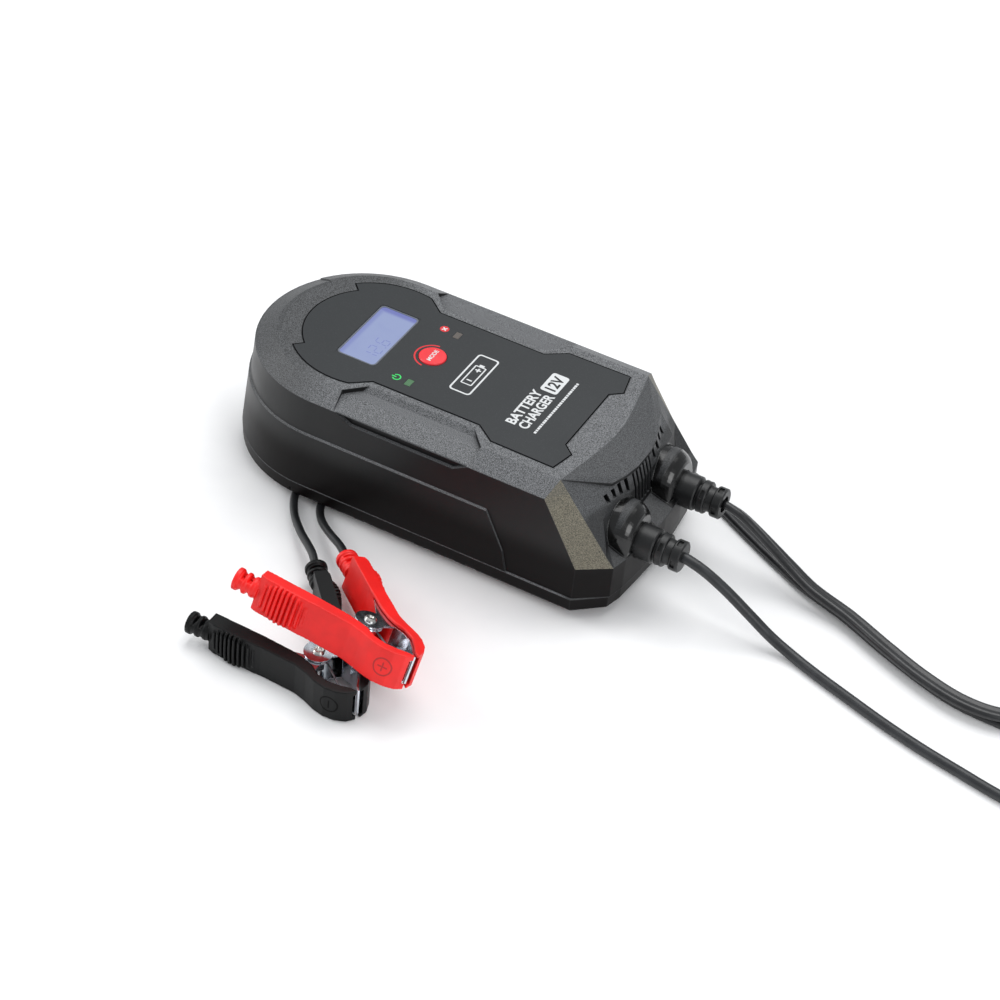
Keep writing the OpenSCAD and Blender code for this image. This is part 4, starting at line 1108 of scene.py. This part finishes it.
class CHARGER_OT_inside(bpy.types.Operator):
    """Give the boards, the transformer, the fan and the other inner pieces their finishes"""

    bl_idname = "charger.inside"
    bl_label = "Inner pieces"

    def execute(self, context):
        finishes = {
            "lcd_module": "display_module_frame", "tact_switch": "pbt_moulded_fan",
            "display_board": "fr4_solder_resist", "main_board": "fr4_solder_resist",
            "display_screws": "steel_zinc_screw", "board_screws": "steel_zinc_screw",
            "transformer_core": "ferrite_pressed_core",
            "transformer_winding": "copper_enamelled_winding",
            "capacitors": "pet_capacitor_sleeve", "heat_sink": "aluminium_extruded_sink",
            "terminals": "pa66_terminal_green", "fan_frame": "pbt_moulded_fan",
            "fan_rotor": "pbt_moulded_fan",
        }
        for node, finish in finishes.items():
            dress(NODES[node], finish)
        return {"FINISHED"}


class CHARGER_OT_stage(bpy.types.Operator):
    """Lay the pale floor and set the soft lights"""

    bl_idname = "charger.stage"
    bl_label = "Floor and lights"

    def execute(self, context):
        corners = [(x * FLOOR_HALF, y * FLOOR_HALF, 0) for x, y in bar(0, 0, 2, 2)]
        floor = mesh_piece("floor", corners, [(0, 1, 2, 3)])
        dress(floor, "studio_sheet")
        world = bpy.data.worlds.new("studio")
        world.use_nodes = True
        backdrop = world.node_tree.nodes["Background"]
        backdrop.inputs["Color"].default_value = linear("#eef1f4")
        backdrop.inputs["Strength"].default_value = WORLD_STRENGTH
        context.scene.world = world
        for name, (place, aim, size, power) in SOFTBOXES.items():
            data = bpy.data.lights.new(name, "AREA")
            data.shape, data.size, data.energy = "SQUARE", size, power
            lamp = in_scene(name, data)
            lamp.location = place
            lamp.rotation_mode = "QUATERNION"
            lamp.rotation_quaternion = (Vector(aim) - Vector(place)).to_track_quat("-Z", "Y")
        context.scene.view_settings.view_transform = "Standard"
        return {"FINISHED"}


class CHARGER_PT_panel(bpy.types.Panel):
    """Sizes, colours and the pieces of the charger"""

    bl_label = "Battery charger"
    bl_idname = "CHARGER_PT_panel"
    bl_space_type = "VIEW_3D"
    bl_region_type = "UI"
    bl_category = "Charger"

    def draw(self, context):
        for group in (context.scene.charger_sizes, context.scene.charger_colours):
            for name in group.__annotations__:
                self.layout.prop(group, name)
        for operator in OPERATORS:
            self.layout.operator(operator.bl_idname)


OPERATORS = (
    CHARGER_OT_camera,
    CHARGER_OT_cord_ends,
    CHARGER_OT_housing,
    CHARGER_OT_panel,
    CHARGER_OT_clamps,
    CHARGER_OT_cords,
    CHARGER_OT_inside,
    CHARGER_OT_stage,
)
CLASSES = (ChargerColours, ChargerSizes, *OPERATORS, CHARGER_PT_panel)


def register():
    for cls in CLASSES:
        bpy.utils.register_class(cls)
    bpy.types.Scene.charger_colours = PointerProperty(type=ChargerColours)
    bpy.types.Scene.charger_sizes = PointerProperty(type=ChargerSizes)


def unregister():
    del bpy.types.Scene.charger_sizes
    del bpy.types.Scene.charger_colours
    for cls in reversed(CLASSES):
        bpy.utils.unregister_class(cls)


def main():
    register()
    for operator in OPERATORS:
        group, name = operator.bl_idname.split(".")
        getattr(getattr(bpy.ops, group), name)()


if __name__ == "__main__":
    main()
